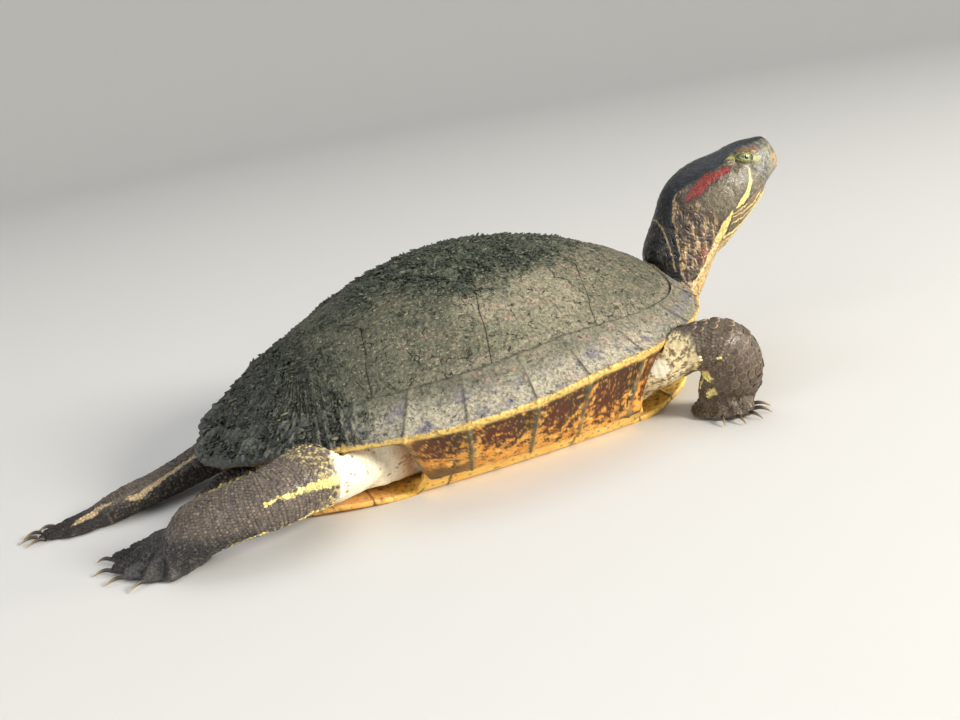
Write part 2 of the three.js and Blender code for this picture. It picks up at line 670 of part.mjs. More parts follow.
function footSolid({ at, heel, high, web, toes }) {
  const order = [...toes].sort((p, q) => p[0] - q[0]);
  const rim = []; // [direction, reach, is a toe]
  order.forEach(([turn, reach], i) => {
    const half = TOE_WIDTH / 2 / reach / DEG;
    rim.push([turn - half, reach, 1], [turn + half, reach, 1]);
    if (i < order.length - 1) {
      const [next, nextReach] = order[i + 1];
      rim.push([(turn + next) / 2, (web * (reach + nextReach)) / 2, 0]);
    }
  });
  const first = rim[0][0];
  const end = rim[rim.length - 1][0];
  const open = 360 - (end - first);
  for (const k of [0.2, 0.4, 0.6, 0.8]) rim.push([end + open * k, heel, 0.5]);
  const point = (k, z) => rim.map(([turn, reach, toe]) => V(
    at[0] + k * reach * Math.cos(turn * DEG),
    at[1] + k * reach * Math.sin(turn * DEG),
    z(toe),
  ));
  return solid(ringGeometry([
    point(0.2, () => high),
    point(0.7, (toe) => mix(0.32, 0.56, toe) * high),
    point(1, (toe) => mix(1, 3, toe)),
    point(1, () => 0),
    point(0.5, () => 0),
  ]));
}

// A claw that grows from the end of a toe.
function clawSolid([x, y], [turn, reach], length) {
  const out = V(Math.cos(turn * DEG), Math.sin(turn * DEG), 0);
  const base = V(x, y, 0).addScaledVector(out, reach + GAP);
  const stations = [[0, 1.6, 1.4], [0.5, 1.9, 1.1], [1, 0.9, 0.35]].map(([k, z, r]) => ({
    at: base.clone().addScaledVector(out, k * length).setZ(z).toArray(),
    w: r,
    h: r,
    square: 2,
  }));
  return loft(stations, V(-out.y, out.x, 0), 6);
}

// ---- putting the body together and parting it ----
const slab = (at, along, dx, dy) => block(V(...at), V(...along), [dx, dy, CUT]);
// A place along a limb's path: at station i, square to the bend there, or k of the way to the next.
const between = (s, i, k) => {
  const [before, a, b] = [s[Math.max(0, i - 1)], s[i], s[i + 1]].map((station) => V(...station.at));
  return { at: a.clone().lerp(b, k).toArray(), along: b.sub(k ? a : before).toArray() };
};

const LIMBS = {
  foreleg_left: { path: FORELEG, cuts: [[1, 0.35], [3, 0], [5, 0]] },
  foreleg_right: { path: FORELEG_RIGHT, cuts: [[1, 0.35], [3, 0], [5, 0]] },
  hindleg_left: { path: HINDLEG_LEFT, cuts: [[1, 0.9], [3, 0], [5, 0]] },
  hindleg_right: { path: HINDLEG_RIGHT, cuts: [[1, 0.35], [3, 0], [5, 0]] },
};
const SEGMENTS = { fore: ["upper_arm", "forearm", "hand"], hind: ["thigh", "shank", "foot"] };

function fleshSolid() {
  const parts = [trunkSolid(), loft(NECK, V(0, 1, 0), 14), headSolid(), loft(TAIL, V(0, 1, 0), 10)];
  // the forelegs and shoulders are mirror images, the hind legs are not
  for (const body of [loft(SHOULDER, V(0, 1, 0), 10), loft(FORELEG, V(1, 0, 0), 10)]) {
    parts.push(body, body.mirror([0, 1, 0]));
  }
  for (const path of [HINDLEG_LEFT, HINDLEG_RIGHT]) parts.push(loft(path, V(0, 1, 0), 10));
  for (const foot of Object.values(FEET)) parts.push(footSolid(foot));
  let flesh = joined(parts);
  // what would lie under the floor is cut off, so that each foot rests on a flat
  flesh = flesh.subtract(block(V(-20, 0, -10), V(0, 0, 1), [500, 300, 20]));
  flesh = flesh.subtract(solid(grown(CARAPACE, GAP))).subtract(solid(grown(PLASTRON, GAP)));
  for (const limb of Object.values(LIMBS)) {
    for (const [i, k] of limb.cuts) {
      const { at, along } = between(limb.path, i, k);
      flesh = flesh.subtract(slab(at, along, 40, 40));
    }
  }
  flesh = flesh.subtract(slab([118.5, -0.5, 40.3], [0.8, 0, 0.6], 46, 50));
  flesh = flesh.subtract(slab(inHead(-31, 0, -14).toArray(), HEAD_AHEAD.toArray(), 50, 60));
  flesh = flesh.subtract(slab([-113, -0.4, 10.8], [-1, -0.06, -0.26], 26, 22));
  const slit = inHead(20 + MOUTH_BACK / 2, 0, MOUTH_UP);
  flesh = flesh.subtract(block(slit, HEAD_UP, [60, 40 - MOUTH_BACK, CUT], HEAD_LEFT));
  const behind = inHead(MOUTH_BACK, 0, MOUTH_UP - 14.8);
  flesh = flesh.subtract(block(behind, HEAD_AHEAD, [60, 30, CUT], HEAD_LEFT));
  return flesh.subtract(eyeSolid(1, GAP)).subtract(eyeSolid(-1, GAP));
}

// ---- the scene graph ----
const turtle = new THREE.Group();
turtle.name = "red_eared_slider";

const FINISH = {
  shell: { color: 0x4a4a40, roughness: 0.85, metalness: 0 },
  plastron: { color: 0xd9962f, roughness: 0.6, metalness: 0 },
  skin: { color: 0x3d3830, roughness: 0.7, metalness: 0 },
  eye: { color: 0x8fa63a, roughness: 0.1, metalness: 0 },
  claw: { color: 0x9a8a66, roughness: 0.5, metalness: 0 },
};

function addNode(name, body, finish) {
  const { vertProperties, triVerts, numProp } = body.getMesh();
  const positions = new Float32Array(triVerts.length * 3);
  triVerts.forEach((v, i) => {
    for (let k = 0; k < 3; k++) positions[3 * i + k] = vertProperties[v * numProp + k];
  });
  const geometry = new THREE.BufferGeometry();
  geometry.setAttribute("position", new THREE.BufferAttribute(positions, 3));
  geometry.computeVertexNormals();
  const mesh = new THREE.Mesh(geometry, new THREE.MeshStandardMaterial(FINISH[finish]));
  mesh.name = name;
  turtle.add(mesh);
}

// Names the bodies of a parted solid: each anchor is a point inside its body.
function addParted(parted, anchors, finish) {
  const bodies = parted.decompose();
  for (const [name, at] of Object.entries(anchors)) {
    const probe = block(V(...at), V(0, 0, 1), [0.8, 0.8, 0.8]);
    const body = bodies.find((b) => b.intersect(probe).volume() > 0.2);
    if (!body) throw new Error("no body holds the anchor of " + name);
    addNode(name, body, finish);
  }
}

for (const plates of [vertebralPlates(), costalPlates(), marginalPlates()]) {
  for (const [name, body] of Object.entries(plates)) addNode(name, body, "shell");
}
addParted(plastronPlates(), {
  plastron_gular: [100, 0, plastronLow(100, 0) + 2],
  plastron_humeral: [77, 0, plastronLow(77, 0) + 2],
  plastron_pectoral: [44, 0, 2],
  plastron_abdominal: [0, 0, 2],
  plastron_femoral: [-48, 0, 2],
  plastron_anal: [-90, 0, 2],
}, "plastron");

addNode("eye_left", eyeSolid(1, 0), "eye");
addNode("eye_right", eyeSolid(-1, 0), "eye");

const anchors = {
  trunk: [0, 0, 40],
  neck: [129, -1.6, 57],
  head: inHead(-15, 0, -4).toArray(),
  lower_jaw: inHead(0, 0, MOUTH_UP - 4).toArray(),
  tail: [-120, -1, 8.6],
};
for (const [name, limb] of Object.entries(LIMBS)) {
  const names = SEGMENTS[name.slice(0, 4)];
  const tag = name.split("_")[1];
  limb.cuts.forEach(([i, k], j) => {
    const next = limb.cuts[j + 1];
    const here = V(...between(limb.path, i, k).at);
    const there = next ? V(...between(limb.path, ...next).at) : V(...FEET[name].at, 3);
    anchors[names[j] + "_" + tag] = here.lerp(there, 0.5).toArray();
  });
}
addParted(fleshSolid(), anchors, "skin");
for (const [name, foot] of Object.entries(FEET)) {
  foot.toes.slice(0, foot.clawed).forEach((toe, i) => {
    addNode("claw_" + name + "_" + (i + 1), clawSolid(foot.at, toe, foot.claw), "claw");
  });
}

export default turtle;
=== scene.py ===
import math

import bpy
import numpy as np
from mathutils import Matrix, Vector
from mathutils.kdtree import KDTree


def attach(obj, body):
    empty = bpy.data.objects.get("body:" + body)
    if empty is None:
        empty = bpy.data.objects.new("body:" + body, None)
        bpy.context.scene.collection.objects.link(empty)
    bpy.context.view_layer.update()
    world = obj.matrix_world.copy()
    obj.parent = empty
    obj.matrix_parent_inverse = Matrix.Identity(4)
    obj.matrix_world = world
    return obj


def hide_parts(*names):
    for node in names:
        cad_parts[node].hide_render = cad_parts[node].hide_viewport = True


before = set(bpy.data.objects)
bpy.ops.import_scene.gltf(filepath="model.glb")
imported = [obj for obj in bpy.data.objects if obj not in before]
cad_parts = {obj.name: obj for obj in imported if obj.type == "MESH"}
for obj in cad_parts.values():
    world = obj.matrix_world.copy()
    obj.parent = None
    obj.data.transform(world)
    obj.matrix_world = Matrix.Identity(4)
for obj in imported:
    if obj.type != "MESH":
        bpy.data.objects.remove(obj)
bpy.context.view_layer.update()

MM = 0.001
DEG = math.pi / 180

# ---- camera and stage ----


def add_camera():
    data = bpy.data.cameras.new("camera")
    data.lens = 45
    data.sensor_width = 36
    data.shift_x = 0.0267
    data.shift_y = -0.0066
    camera = bpy.data.objects.new("camera", data)
    bpy.context.scene.collection.objects.link(camera)
    right = Vector((0.9078, -0.3822, -0.1728))
    up = Vector((0.2564, 0.1795, 0.9498))
    back = Vector((-0.3319, -0.9065, 0.2609))
    turn = Matrix((right, up, back)).transposed().to_4x4()
    camera.matrix_world = Matrix.Translation((-0.1861, -0.5087, 0.1864)) @ turn
    bpy.context.scene.camera = camera


# ---- meshes ----


def new_object(name, points, faces, material=None):
    """A smooth mesh object in metres from points in millimetres; faces is a list of index arrays."""
    mesh = bpy.data.meshes.new(name)
    mesh.vertices.add(len(points))
    mesh.vertices.foreach_set("co", (np.asarray(points, dtype=np.float32) * MM).ravel())
    sides = np.concatenate([np.full(len(group), group.shape[1]) for group in faces])
    mesh.loops.add(int(sides.sum()))
    corners = np.concatenate([group.ravel() for group in faces])
    mesh.loops.foreach_set("vertex_index", corners.astype(np.int32))
    mesh.polygons.add(len(sides))
    mesh.polygons.foreach_set("loop_start", (np.cumsum(sides) - sides).astype(np.int32))
    mesh.polygons.foreach_set("use_smooth", np.ones(len(sides), dtype=bool))
    mesh.update(calc_edges=True)
    if material:
        mesh.materials.append(material)
    obj = bpy.data.objects.new(name, mesh)
    bpy.context.scene.collection.objects.link(obj)
    return obj


def put(obj, slot, *nodes):
    """Makes a piece of the object: it rides on the one body and stands for these CAD nodes."""
    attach(obj, "root")
    if nodes:
        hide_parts(*nodes)
    return obj


def set_field(obj, name, values):
    """Stores a number or a vector for each point of the mesh."""
    values = np.asarray(values, dtype=np.float32)
    kind, key = ("FLOAT", "value") if values.ndim == 1 else ("FLOAT_VECTOR", "vector")
    obj.data.attributes.new(name, kind, "POINT").data.foreach_set(key, values.ravel())


def points_of(mesh):
    co = np.empty(len(mesh.vertices) * 3, dtype=np.float32)
    mesh.vertices.foreach_get("co", co)
    return co.reshape(-1, 3).astype(np.float64) / MM


def smooth(a, b, x):
    """0 where x is at a or before it, 1 where it is at b or beyond, eased between them."""
    u = np.clip((np.asarray(x, dtype=float) - a) / (b - a), 0, 1)
    return u * u * (3 - 2 * u)


def mix(a, b, u):
    return a + (b - a) * u


def bell(x, width):
    """1 where x is 0, falling away to both sides."""
    return np.exp(-((x / width) ** 2))


def stack(*parts):
    """The parts side by side, as columns or coordinates."""
    return np.stack(parts, -1)


def unit(v):
    return v / np.maximum(np.linalg.norm(v, axis=-1, keepdims=True), 1e-9)


def powered(x, power):
    """x to a power, with its sign kept."""
    return np.sign(x) * np.abs(x) ** power


def line_at(line, x):
    """Height at x of a line of (x, height, ...) points."""
    points = sorted(line)
    return np.interp(x, [point[0] for point in points], [point[1] for point in points])


def dot(a, b):
    return (a * b).sum(-1, keepdims=True)


def tree_of(points):
    tree = KDTree(len(points))
    for i, p in enumerate(points):
        tree.insert(p, i)
    tree.balance()
    return tree


def closed(rings):
    """A closed surface through rings (count, n, 3), faces out: points, quads and the ends' triangles."""
    rings = np.asarray(rings, dtype=float)
    m, n = rings.shape[:2]
    i, j = np.meshgrid(np.arange(m - 1), np.arange(n), indexing="ij")
    a, b = i * n + j, i * n + (j + 1) % n
    quads = stack(a, b, b + n, a + n).reshape(-1, 4)
    k = np.arange(n)
    first = stack(np.full(n, m * n), (k + 1) % n, k)
    last = stack(np.full(n, m * n + 1), (m - 1) * n + k, (m - 1) * n + (k + 1) % n)
    points = np.vstack([rings.reshape(-1, 3), rings[0].mean(0), rings[-1].mean(0)])
    tris = np.vstack([first, last])
    corners = np.vstack([quads[:, :3], quads[:, [0, 2, 3]], tris])
    a, b, c = (points[corners[:, k]] - points.mean(0) for k in range(3))
    if (a * np.cross(b, c)).sum() < 0:
        quads, tris = quads[:, ::-1], tris[:, ::-1]
    return points, quads, tris


def joined(solids):
    """Several solids as one set of points, quads and triangles."""
    points, quads, tris, at = [], [], [], 0
    for p, q, t in solids:
        points.append(p)
        quads.append(q + at)
        tris.append(t + at)
        at += len(p)
    return np.vstack(points), np.vstack(quads), np.vstack(tris)


def spline(keys, values, at):
    """Smooth curve through values at keys (Catmull-Rom with uneven steps)."""
    keys, values = np.asarray(keys, float), np.asarray(values, float)
    at = np.atleast_1d(np.asarray(at, float))
    slope = np.gradient(values, keys, axis=0)
    i = np.clip(np.searchsorted(keys, at, side="right") - 1, 0, len(keys) - 2)
    h = keys[i + 1] - keys[i]
    u = np.clip((at - keys[i]) / h, 0, 1)
    shape = (-1,) + (1,) * (values.ndim - 1)
    u, h = u.reshape(shape), h.reshape(shape)
    return ((1 + 2 * u) * (1 - u) ** 2 * values[i] + u * (1 - u) ** 2 * h * slope[i]
            + u * u * (3 - 2 * u) * values[i + 1] + u * u * (u - 1) * h * slope[i + 1])


def lumps(p, size, seed=0.0):
    """Smooth pseudo-noise in -1..1 at points (n, k), for relief of about this size."""
    q = np.asarray(p, float) / size
    k = q.shape[-1]
    total = np.zeros(q.shape[:-1])
    rng = np.random.default_rng(int(seed * 1000) + 7)
    for _ in range(7):
        way = rng.normal(size=k)
        way /= np.linalg.norm(way)
        total += np.sin(q @ way * rng.uniform(0.7, 1.5) * 2 * math.pi + rng.uniform(0, 6.28))
    return total / 3.5


# ---- colours ----


def tone(r, g, b):
    """A colour that is seen as these sRGB values."""
    c = np.array([r, g, b]) / 255
    return np.where(c <= 0.04045, c / 12.92, ((c + 0.055) / 1.055) ** 2.4)


def painted(base, share, colour):
    """The colours with this share of another one laid over them."""
    share = np.clip(share, 0, 1)[:, None]
    return base * (1 - share) + np.asarray(colour) * share


class Paint:
    """The colours of places, built up in thin layers."""

    def __init__(self, places, r, g, b):
        self.colour = np.tile(tone(r, g, b), (len(places), 1))

    def __call__(self, share, r, g, b, on=slice(None)):
        """Lays this share of a colour over the places."""
        self.colour[on] = painted(self.colour[on], share, tone(r, g, b))


def mottle(p, size, seed):
    """Lumps of three sizes."""
    layers = ((1, 1, 0), (0.6, 2.1, 0.3), (0.4, 4.3, 0.6))
    return sum(weight * lumps(p, size / finer, seed + more) for weight, finer, more in layers) / 1.4


# ---- the shell's form ----
HALF, SIDE, SHELL_TAPER, SHELL_HEIGHT = 125, 89, 0.09, 91
PEAK_FORWARD, DOME_ROUND, DOME_FLAT = 8.5, 1.95, 1.1
NUCHAL_DIP, NUCHAL_DIP_WIDTH = 9, 30
# every 15 degrees from the front to the rear
RIM_HEIGHTS = [52.5, 46.5, 42, 40, 39.5, 39.5, 37, 36, 36, 35.5, 33, 28.5, 25]
PLATE, RIM_PLATE = 5, 3.6
MARGINAL_DEPTH = 17
BRIDGE_REAR, BRIDGE_FRONT, BRIDGE_MIDDLE, BRIDGE_Y, BRIDGE_Z = -46, 59, 5, 68, 10
PLASTRON_PLATE, REAR_LOBE, FRONT_LOBE, REAR_LOBE_LENGTH, FRONT_LOBE_LENGTH = 4, 54, 52, 67, 54


def dip(x, y, t):
    return np.where(x > 0, NUCHAL_DIP * bell(y, NUCHAL_DIP_WIDTH) * t ** 5, 0)


def outline_power(a):
    """How square the outline is towards rim angle a; an ellipse has 2."""
    return 1.98 + 0.16 * np.cos(a)


def plan(a, t):
    """Where rim angle a and share t of the way out to the rim lie in x and y."""
    c, s = np.cos(a), np.sin(a)
    n = outline_power(a)
    r = t * (np.abs(c) ** n + np.abs(s) ** n) ** (-1 / n)
    u = r * c
    y = r * s * SIDE * (1 - SHELL_TAPER * u)
    return u * HALF + PEAK_FORWARD * (1 - t) - dip(u, y, t), y


def rim_height(a):
    turn = np.asarray(np.abs(np.arctan2(np.sin(a), np.cos(a))))
    return spline(15 * DEG * np.arange(13), RIM_HEIGHTS, turn.ravel()).reshape(turn.shape)


def dome_height(a, t):
    rim = rim_height(a)
    return rim + (SHELL_HEIGHT - rim) * np.maximum(0, 1 - t ** DOME_ROUND) ** DOME_FLAT


def polar(x, y):
    """The rim angle and the share of the way out that lie at x and y: plan, the other way round."""
    x, y = np.asarray(x, float), np.asarray(y, float)
    t, a = np.full(x.shape, 0.5), np.zeros(x.shape)
    for _ in range(30):
        u = (x - PEAK_FORWARD * (1 - t) + dip(x, y, t)) / HALF
        v = y / (SIDE * (1 - SHELL_TAPER * u))
        a = np.arctan2(v, u)
        n = outline_power(a)
        t = 0.5 * t + 0.5 * (np.abs(u) ** n + np.abs(v) ** n) ** (1 / n)
    return a, t


# where one marginal plate ends and the next begins, from the nuchal plate to the tail
SEAMS = np.array([5.7, 24, 43.5, 63.2, 78.2, 90.5, 104.8, 117.5, 130.5, 143, 156, 168, 180]) * DEG


def seam_ring(a):
    """The share of the way out where the marginal plates begin."""
    x, y = plan(a, 1.0)
    return 1 - (MARGINAL_DEPTH - 4 * np.cos(a) ** 2) / np.hypot(x, y)


def bridge_share(x):
    """1 along the bridge between carapace and plastron, 0 before and behind it."""
    return smooth(BRIDGE_REAR - 8, BRIDGE_REAR + 3, x) * (1 - smooth(BRIDGE_FRONT - 3, BRIDGE_FRONT + 8, x))


def bridge_y(x):
    return BRIDGE_Y - 3 * ((x - BRIDGE_MIDDLE) / 55) ** 2


def plastron_half(x):
    """Half width of the plastron: the bridge, and rounded lobes before and behind it."""
    lobe = lambda half, beyond, length, power: half * np.clip(1 - (beyond / length) ** power, 0, 1) ** 0.5
    rear = lobe(REAR_LOBE, np.maximum(BRIDGE_REAR - x, 0), REAR_LOBE_LENGTH, 2.6)
    front = lobe(FRONT_LOBE, np.maximum(x - BRIDGE_FRONT, 0), FRONT_LOBE_LENGTH, 2.4)
    return np.where(x < BRIDGE_REAR, rear, np.where(x > BRIDGE_FRONT, front, bridge_y(x)))


def plastron_low(x, y):
    """Height of the plastron's underside, which rises at both ends."""
    side = np.abs(y)
    front = 9 * (np.maximum(x - 64, 0) / 48) ** 2 + 4 * smooth(64, 100, x) * (side / FRONT_LOBE) ** 3
    return front + 3 * smooth(50, 90, -x) * (side / REAR_LOBE) ** 4


# ---- the plates of the carapace ----
VERTEBRAL_EDGE = [[103.5, 24], [75, 22], [54, 30], [25, 24], [3, 31], [-27, 24], [-50, 29], [-80, 20],
                  [-100, 29]]
COSTAL_SEAM_X = [95, 42, -11, -61, -92]
SEAM_HALF = 0.13  # half the width of the gap between two plates
HORN = 2.0  # thickness of a plate's horn over the bone
RIM_STEPS, NUCHAL_STEPS = 560, 40  # how finely the rim is cut along its length

RING_ANGLES = np.linspace(0, math.pi, 361)
RING = stack(*plan(RING_ANGLES, seam_ring(RING_ANGLES)))


def ring_index(x):
    """Where on RING the inner edge of the marginal plates is at x."""
    return float(np.interp(-x, -RING[:, 0], np.arange(len(RING))))


def ring_at(k):
    return stack(*(np.interp(k, np.arange(len(RING)), part) for part in RING.T))


def arc(start, end):
    return ring_at(np.linspace(start, end, 40))


def even(line, count):
    """So many places evenly along a plan line."""
    line = np.asarray(line, float)
    at = np.concatenate([[0], np.cumsum(np.hypot(*np.diff(line, axis=0).T))])
    want = np.linspace(0, at[-1], count)
    return stack(*(np.interp(want, at, part) for part in line.T))


def wavy(line, seed, size=0.5):
    """A seam's own small wander, none at its ends."""
    line = even(line, 60)
    along = unit(np.gradient(line, axis=0))
    k = np.linspace(0, math.pi, len(line))
    wander = sum(np.sin(k * f + seed * 1.7 * f) / f for f in (3, 5, 9, 14))
    return line + (wander * size * np.sin(k) ** 0.5)[:, None] * stack(-along[:, 1], along[:, 0])


FIRST, LAST = ring_index(VERTEBRAL_EDGE[0][0]), ring_index(VERTEBRAL_EDGE[-1][0])
EDGE = [list(ring_at(FIRST)), *VERTEBRAL_EDGE[1:-1], list(ring_at(LAST))]


def plate_outlines():
    """Each plate's four plan lines (inner, outer, front, rear) by name."""
    outlines = {}
    mirror = lambda line, s: np.asarray(line, float) * [1, s]
    side = [wavy([EDGE[i], EDGE[i + 1]], i) for i in range(8)]
    across = {i: wavy([EDGE[i], [EDGE[i][0], -EDGE[i][1]]], 20 + i, 0.7) for i in (1, 3, 5, 7)}
    ends = [ring_index(x) for x in COSTAL_SEAM_X]
    costal = {i: wavy([EDGE[i], ring_at(ends[n])], 30 + i, 0.9) for n, i in ((1, 2), (2, 4), (3, 6))}
    whole = lambda half: np.vstack([half[::-1], mirror(half, -1)[1:]])
    for n, (i, k) in enumerate([(0, 1), (1, 3), (3, 5), (5, 7), (7, 8)]):
        left = np.vstack(side[i:k])
        front = whole(arc(0, FIRST)) if n == 0 else across[i]
        rear = whole(arc(LAST, len(RING) - 1)[::-1]) if n == 4 else across[k]
        outlines[f"vertebral_{n + 1}"] = (left, mirror(left, -1), front, rear)
    for n, (i, k) in enumerate([(0, 2), (2, 4), (4, 6), (6, 8)]):
        inner = np.vstack(side[i:k])
        front = arc(FIRST, ends[0]) if n == 0 else costal[i]
        rear = arc(ends[4], LAST)[::-1] if n == 3 else costal[k]
        for tag, s in (("left", 1), ("right", -1)):
            lines = [inner, arc(ends[n], ends[n + 1]), front, rear]
            outlines[f"costal_{tag}_{n + 1}"] = tuple(mirror(line, s) for line in lines)
    return outlines


def coons(outline, along, across):
    """A grid of plan places that fills the four lines of an outline (a Coons patch)."""
    inner, outer, front, rear = outline
    a, b = even(inner, along)[:, None], even(outer, along)[:, None]
    c, d = even(front, across)[None], even(rear, across)[None]
    u = np.linspace(0, 1, along)[:, None, None]
    v = np.linspace(0, 1, across)[None, :, None]
    corners = mix(mix(a[0, 0], b[0, 0], v), mix(a[-1, 0], b[-1, 0], v), u)
    return mix(a, b, v) + mix(c, d, u) - corners


def dome_point(x, y):
    """Height of the carapace over x and y."""
    a, t = polar(x, y)
    return dome_height(a, np.minimum(t, 1))


def algae_share(p):
    """How much algae and dirt grows at these places of the carapace: its crest and its rear."""
    _, t = polar(p[:, 0], p[:, 1])
    wander = 0.12 * mottle(p, 34, 4.2)
    crest = smooth(0.62, 0.34, t + wander)
    rear = smooth(-48, -92, p[:, 0] + 60 * wander)
    return np.clip(np.maximum(crest * smooth(116, 92, p[:, 0]), rear) + 0.12 * mottle(p, 9, 8.8), 0, 1)


def rough_growth(p, share):
    """Relief of the growth: jagged lumps, drawn out down the slope at the rear."""
    a, t = polar(p[:, 0], p[:, 1])
    rear = smooth(-50, -90, p[:, 0])
    across = stack(a * 60 * (1 + rear), t * 90 * (1 - 0.55 * rear))
    ridged = 1 - np.abs(mottle(across, 7, 9.1)) * 1.6
    coarse = mottle(across, 16, 10.3)
    return share * ((0.8 + 1.3 * rear) * np.clip(ridged, -0.6, 1) + (0.7 + 0.8 * rear) * coarse) - 0.3 * share


def carapace_colour(p, edge):
    """Horn of the carapace: olive grey, paler on the front flanks, violet and pinkish near the rim."""
    a, t = polar(p[:, 0], p[:, 1])
    x, side = p[:, 0], np.abs(p[:, 1])
    wide, mid, small = mottle(p, 40, 1.1), mottle(p, 13, 2.1), mottle(p, 4, 3.1)
    paint = Paint(p, 84, 84, 70)
    paint(0.5 + 0.4 * mid, 104, 102, 85)
    flank = smooth(-24, -4, x + 8 * wide) * smooth(0.38, 0.6, t + 0.06 * mid) * smooth(118, 70, x)
    paint(flank * (0.45 + 0.25 * mid), 130, 125, 104)
    patch = np.hypot((x - 17 + 4 * mid) / 27, (side - 50 + 3 * small) / 17)
    paint(smooth(1.15, 0.8, patch) * 0.55, 150, 142, 120)
    hollow = np.hypot((x - 4) / 16, (side - 62) / 6)
    paint(smooth(1.3, 0.5, hollow + 0.2 * mid) * 0.55, 112, 112, 92)
    outer = smooth(0.84, 0.95, t)
    paint(outer * smooth(-92, -50, x) * 0.7, 174, 166, 146)
    paint(smooth(56, 84, x) * 0.45, 88, 87, 72)
    paint(outer * smooth(0.15, 0.75, mottle(p, 11, 6.1)) * 0.75, 92, 88, 108)
    paint(smooth(0.35, 0.9, mottle(p, 9, 7.7)) * 0.45 * smooth(-70, 0, x), 160, 132, 116)
    growth = algae_share(p)
    growth = growth * (1 - 0.45 * outer * smooth(-104, -88, x))
    paint(growth * (0.75 + 0.2 * small), 82, 91, 76)
    paint(growth * smooth(0.05, 0.5, mottle(p, 5, 12.5)) * 0.6, 36, 43, 37)
    rear = smooth(-62, -98, x)
    paint(rear * 0.55, 92, 92, 88)
    paint(rear * smooth(0.3, 0.8, mottle(p, 7, 13.5)) * 0.45, 66, 70, 86)
    paint(rear * smooth(0.62, 0.9, mottle(p, 4, 15.5)) * 0.6, 128, 120, 86)
    pale_line = bell(t - seam_ring(a) + 0.02, 0.018) * smooth(-70, -20, x)
    paint(pale_line * 0.4, 150, 142, 122)
    seen = (0.1 + 0.9 * smooth(-0.2, 0.5, mottle(p, 17, 16.1))) * (1 - 0.6 * growth)
    seen = np.maximum(seen * 0.55, outer)
    paint(bell(edge, 0.7) * 0.85 * seen, 44, 40, 34)
    return paint.colour


def rim_colour(p, section, lane, gap):
    """Marginal plates: carapace colour on top, a speckled yellow edge, and blotched undersides."""
    x = p[:, 0]
    mid, small = mottle(p, 9, 21.5), mottle(p, 2.6, 22.5)
    forward = smooth(-104, -84, x + 5 * mid)
    edge = smooth(1.95, 2.3, section + 0.2 * small + 0.1 * mid - 0.4 * smooth(0, -70, x)) * forward
    top = painted(carapace_colour(p, gap), edge, tone(214, 180, 100))
    top = painted(top, edge * smooth(0.1, 0.6, small) * 0.5, tone(122, 96, 46))
    under = smooth(3.0, 3.25, section)
    ground = Paint(p, 226, 164, 72)
    ground(0.5 + 0.5 * mid, 206, 132, 48)
    ground(smooth(0.2, 0.8, mottle(p, 6, 25.5)) * 0.6, 232, 194, 112)
    across = lane - np.floor(lane) - 0.5
    front = smooth(-34, 46, x)
    ragged = 0.5 * mottle(p, 7, 23.5) + 0.3 * small + 0.15 * mottle(p, 1.3, 26.5)
    bloom = np.hypot((across + 0.06) / 0.62, (section - 3.2) / (1.5 + 0.9 * front)) + ragged
    ground(smooth(1.2, 0.75, bloom) * 0.95, 27, 19, 13)
    heart = np.hypot((across - 0.08) / 0.36, (section - 3.9 - 0.4 * front) / (0.8 + 0.5 * front)) + ragged
    ground(smooth(0.9, 0.5, heart) * 0.9, 84, 35, 11)
    vein = np.abs(mottle(p * [0.5, 1, 1.3], 3.6, 27.5))
    ground(smooth(0.1, 0.03, vein) * 0.6 * smooth(1.3, 0.9, bloom), 190, 140, 66)
    ground(smooth(0.5, 0.72, mottle(p * [0.6, 1, 1], 2.2, 28.5)) * 0.6, 60, 44, 26)
    bridge = bridge_share(x)
    front_wedge = smooth(40, 50, x) * smooth(5.6, 6.1, section + 0.2 * mid) * bridge
    rear_wedge = smooth(-20, -34, x + 3 * mid) * smooth(5.0, 5.4, section + 0.2 * mid) * bridge
    ground(np.maximum(front_wedge, rear_wedge * 0.85), 70, 56, 34)
    ground(smooth(2.0, 0.8, gap + 0.9 * small + 0.5 * mid) * 0.75, 98, 96, 72)
    low_seam = bell(section - 6.75 + 0.08 * mid, 0.14)
    ground(low_seam * 0.85, 120, 112, 88)
    ground((1 - bridge) * 0.25, 150, 100, 60)
    return painted(top, under, ground.colour)


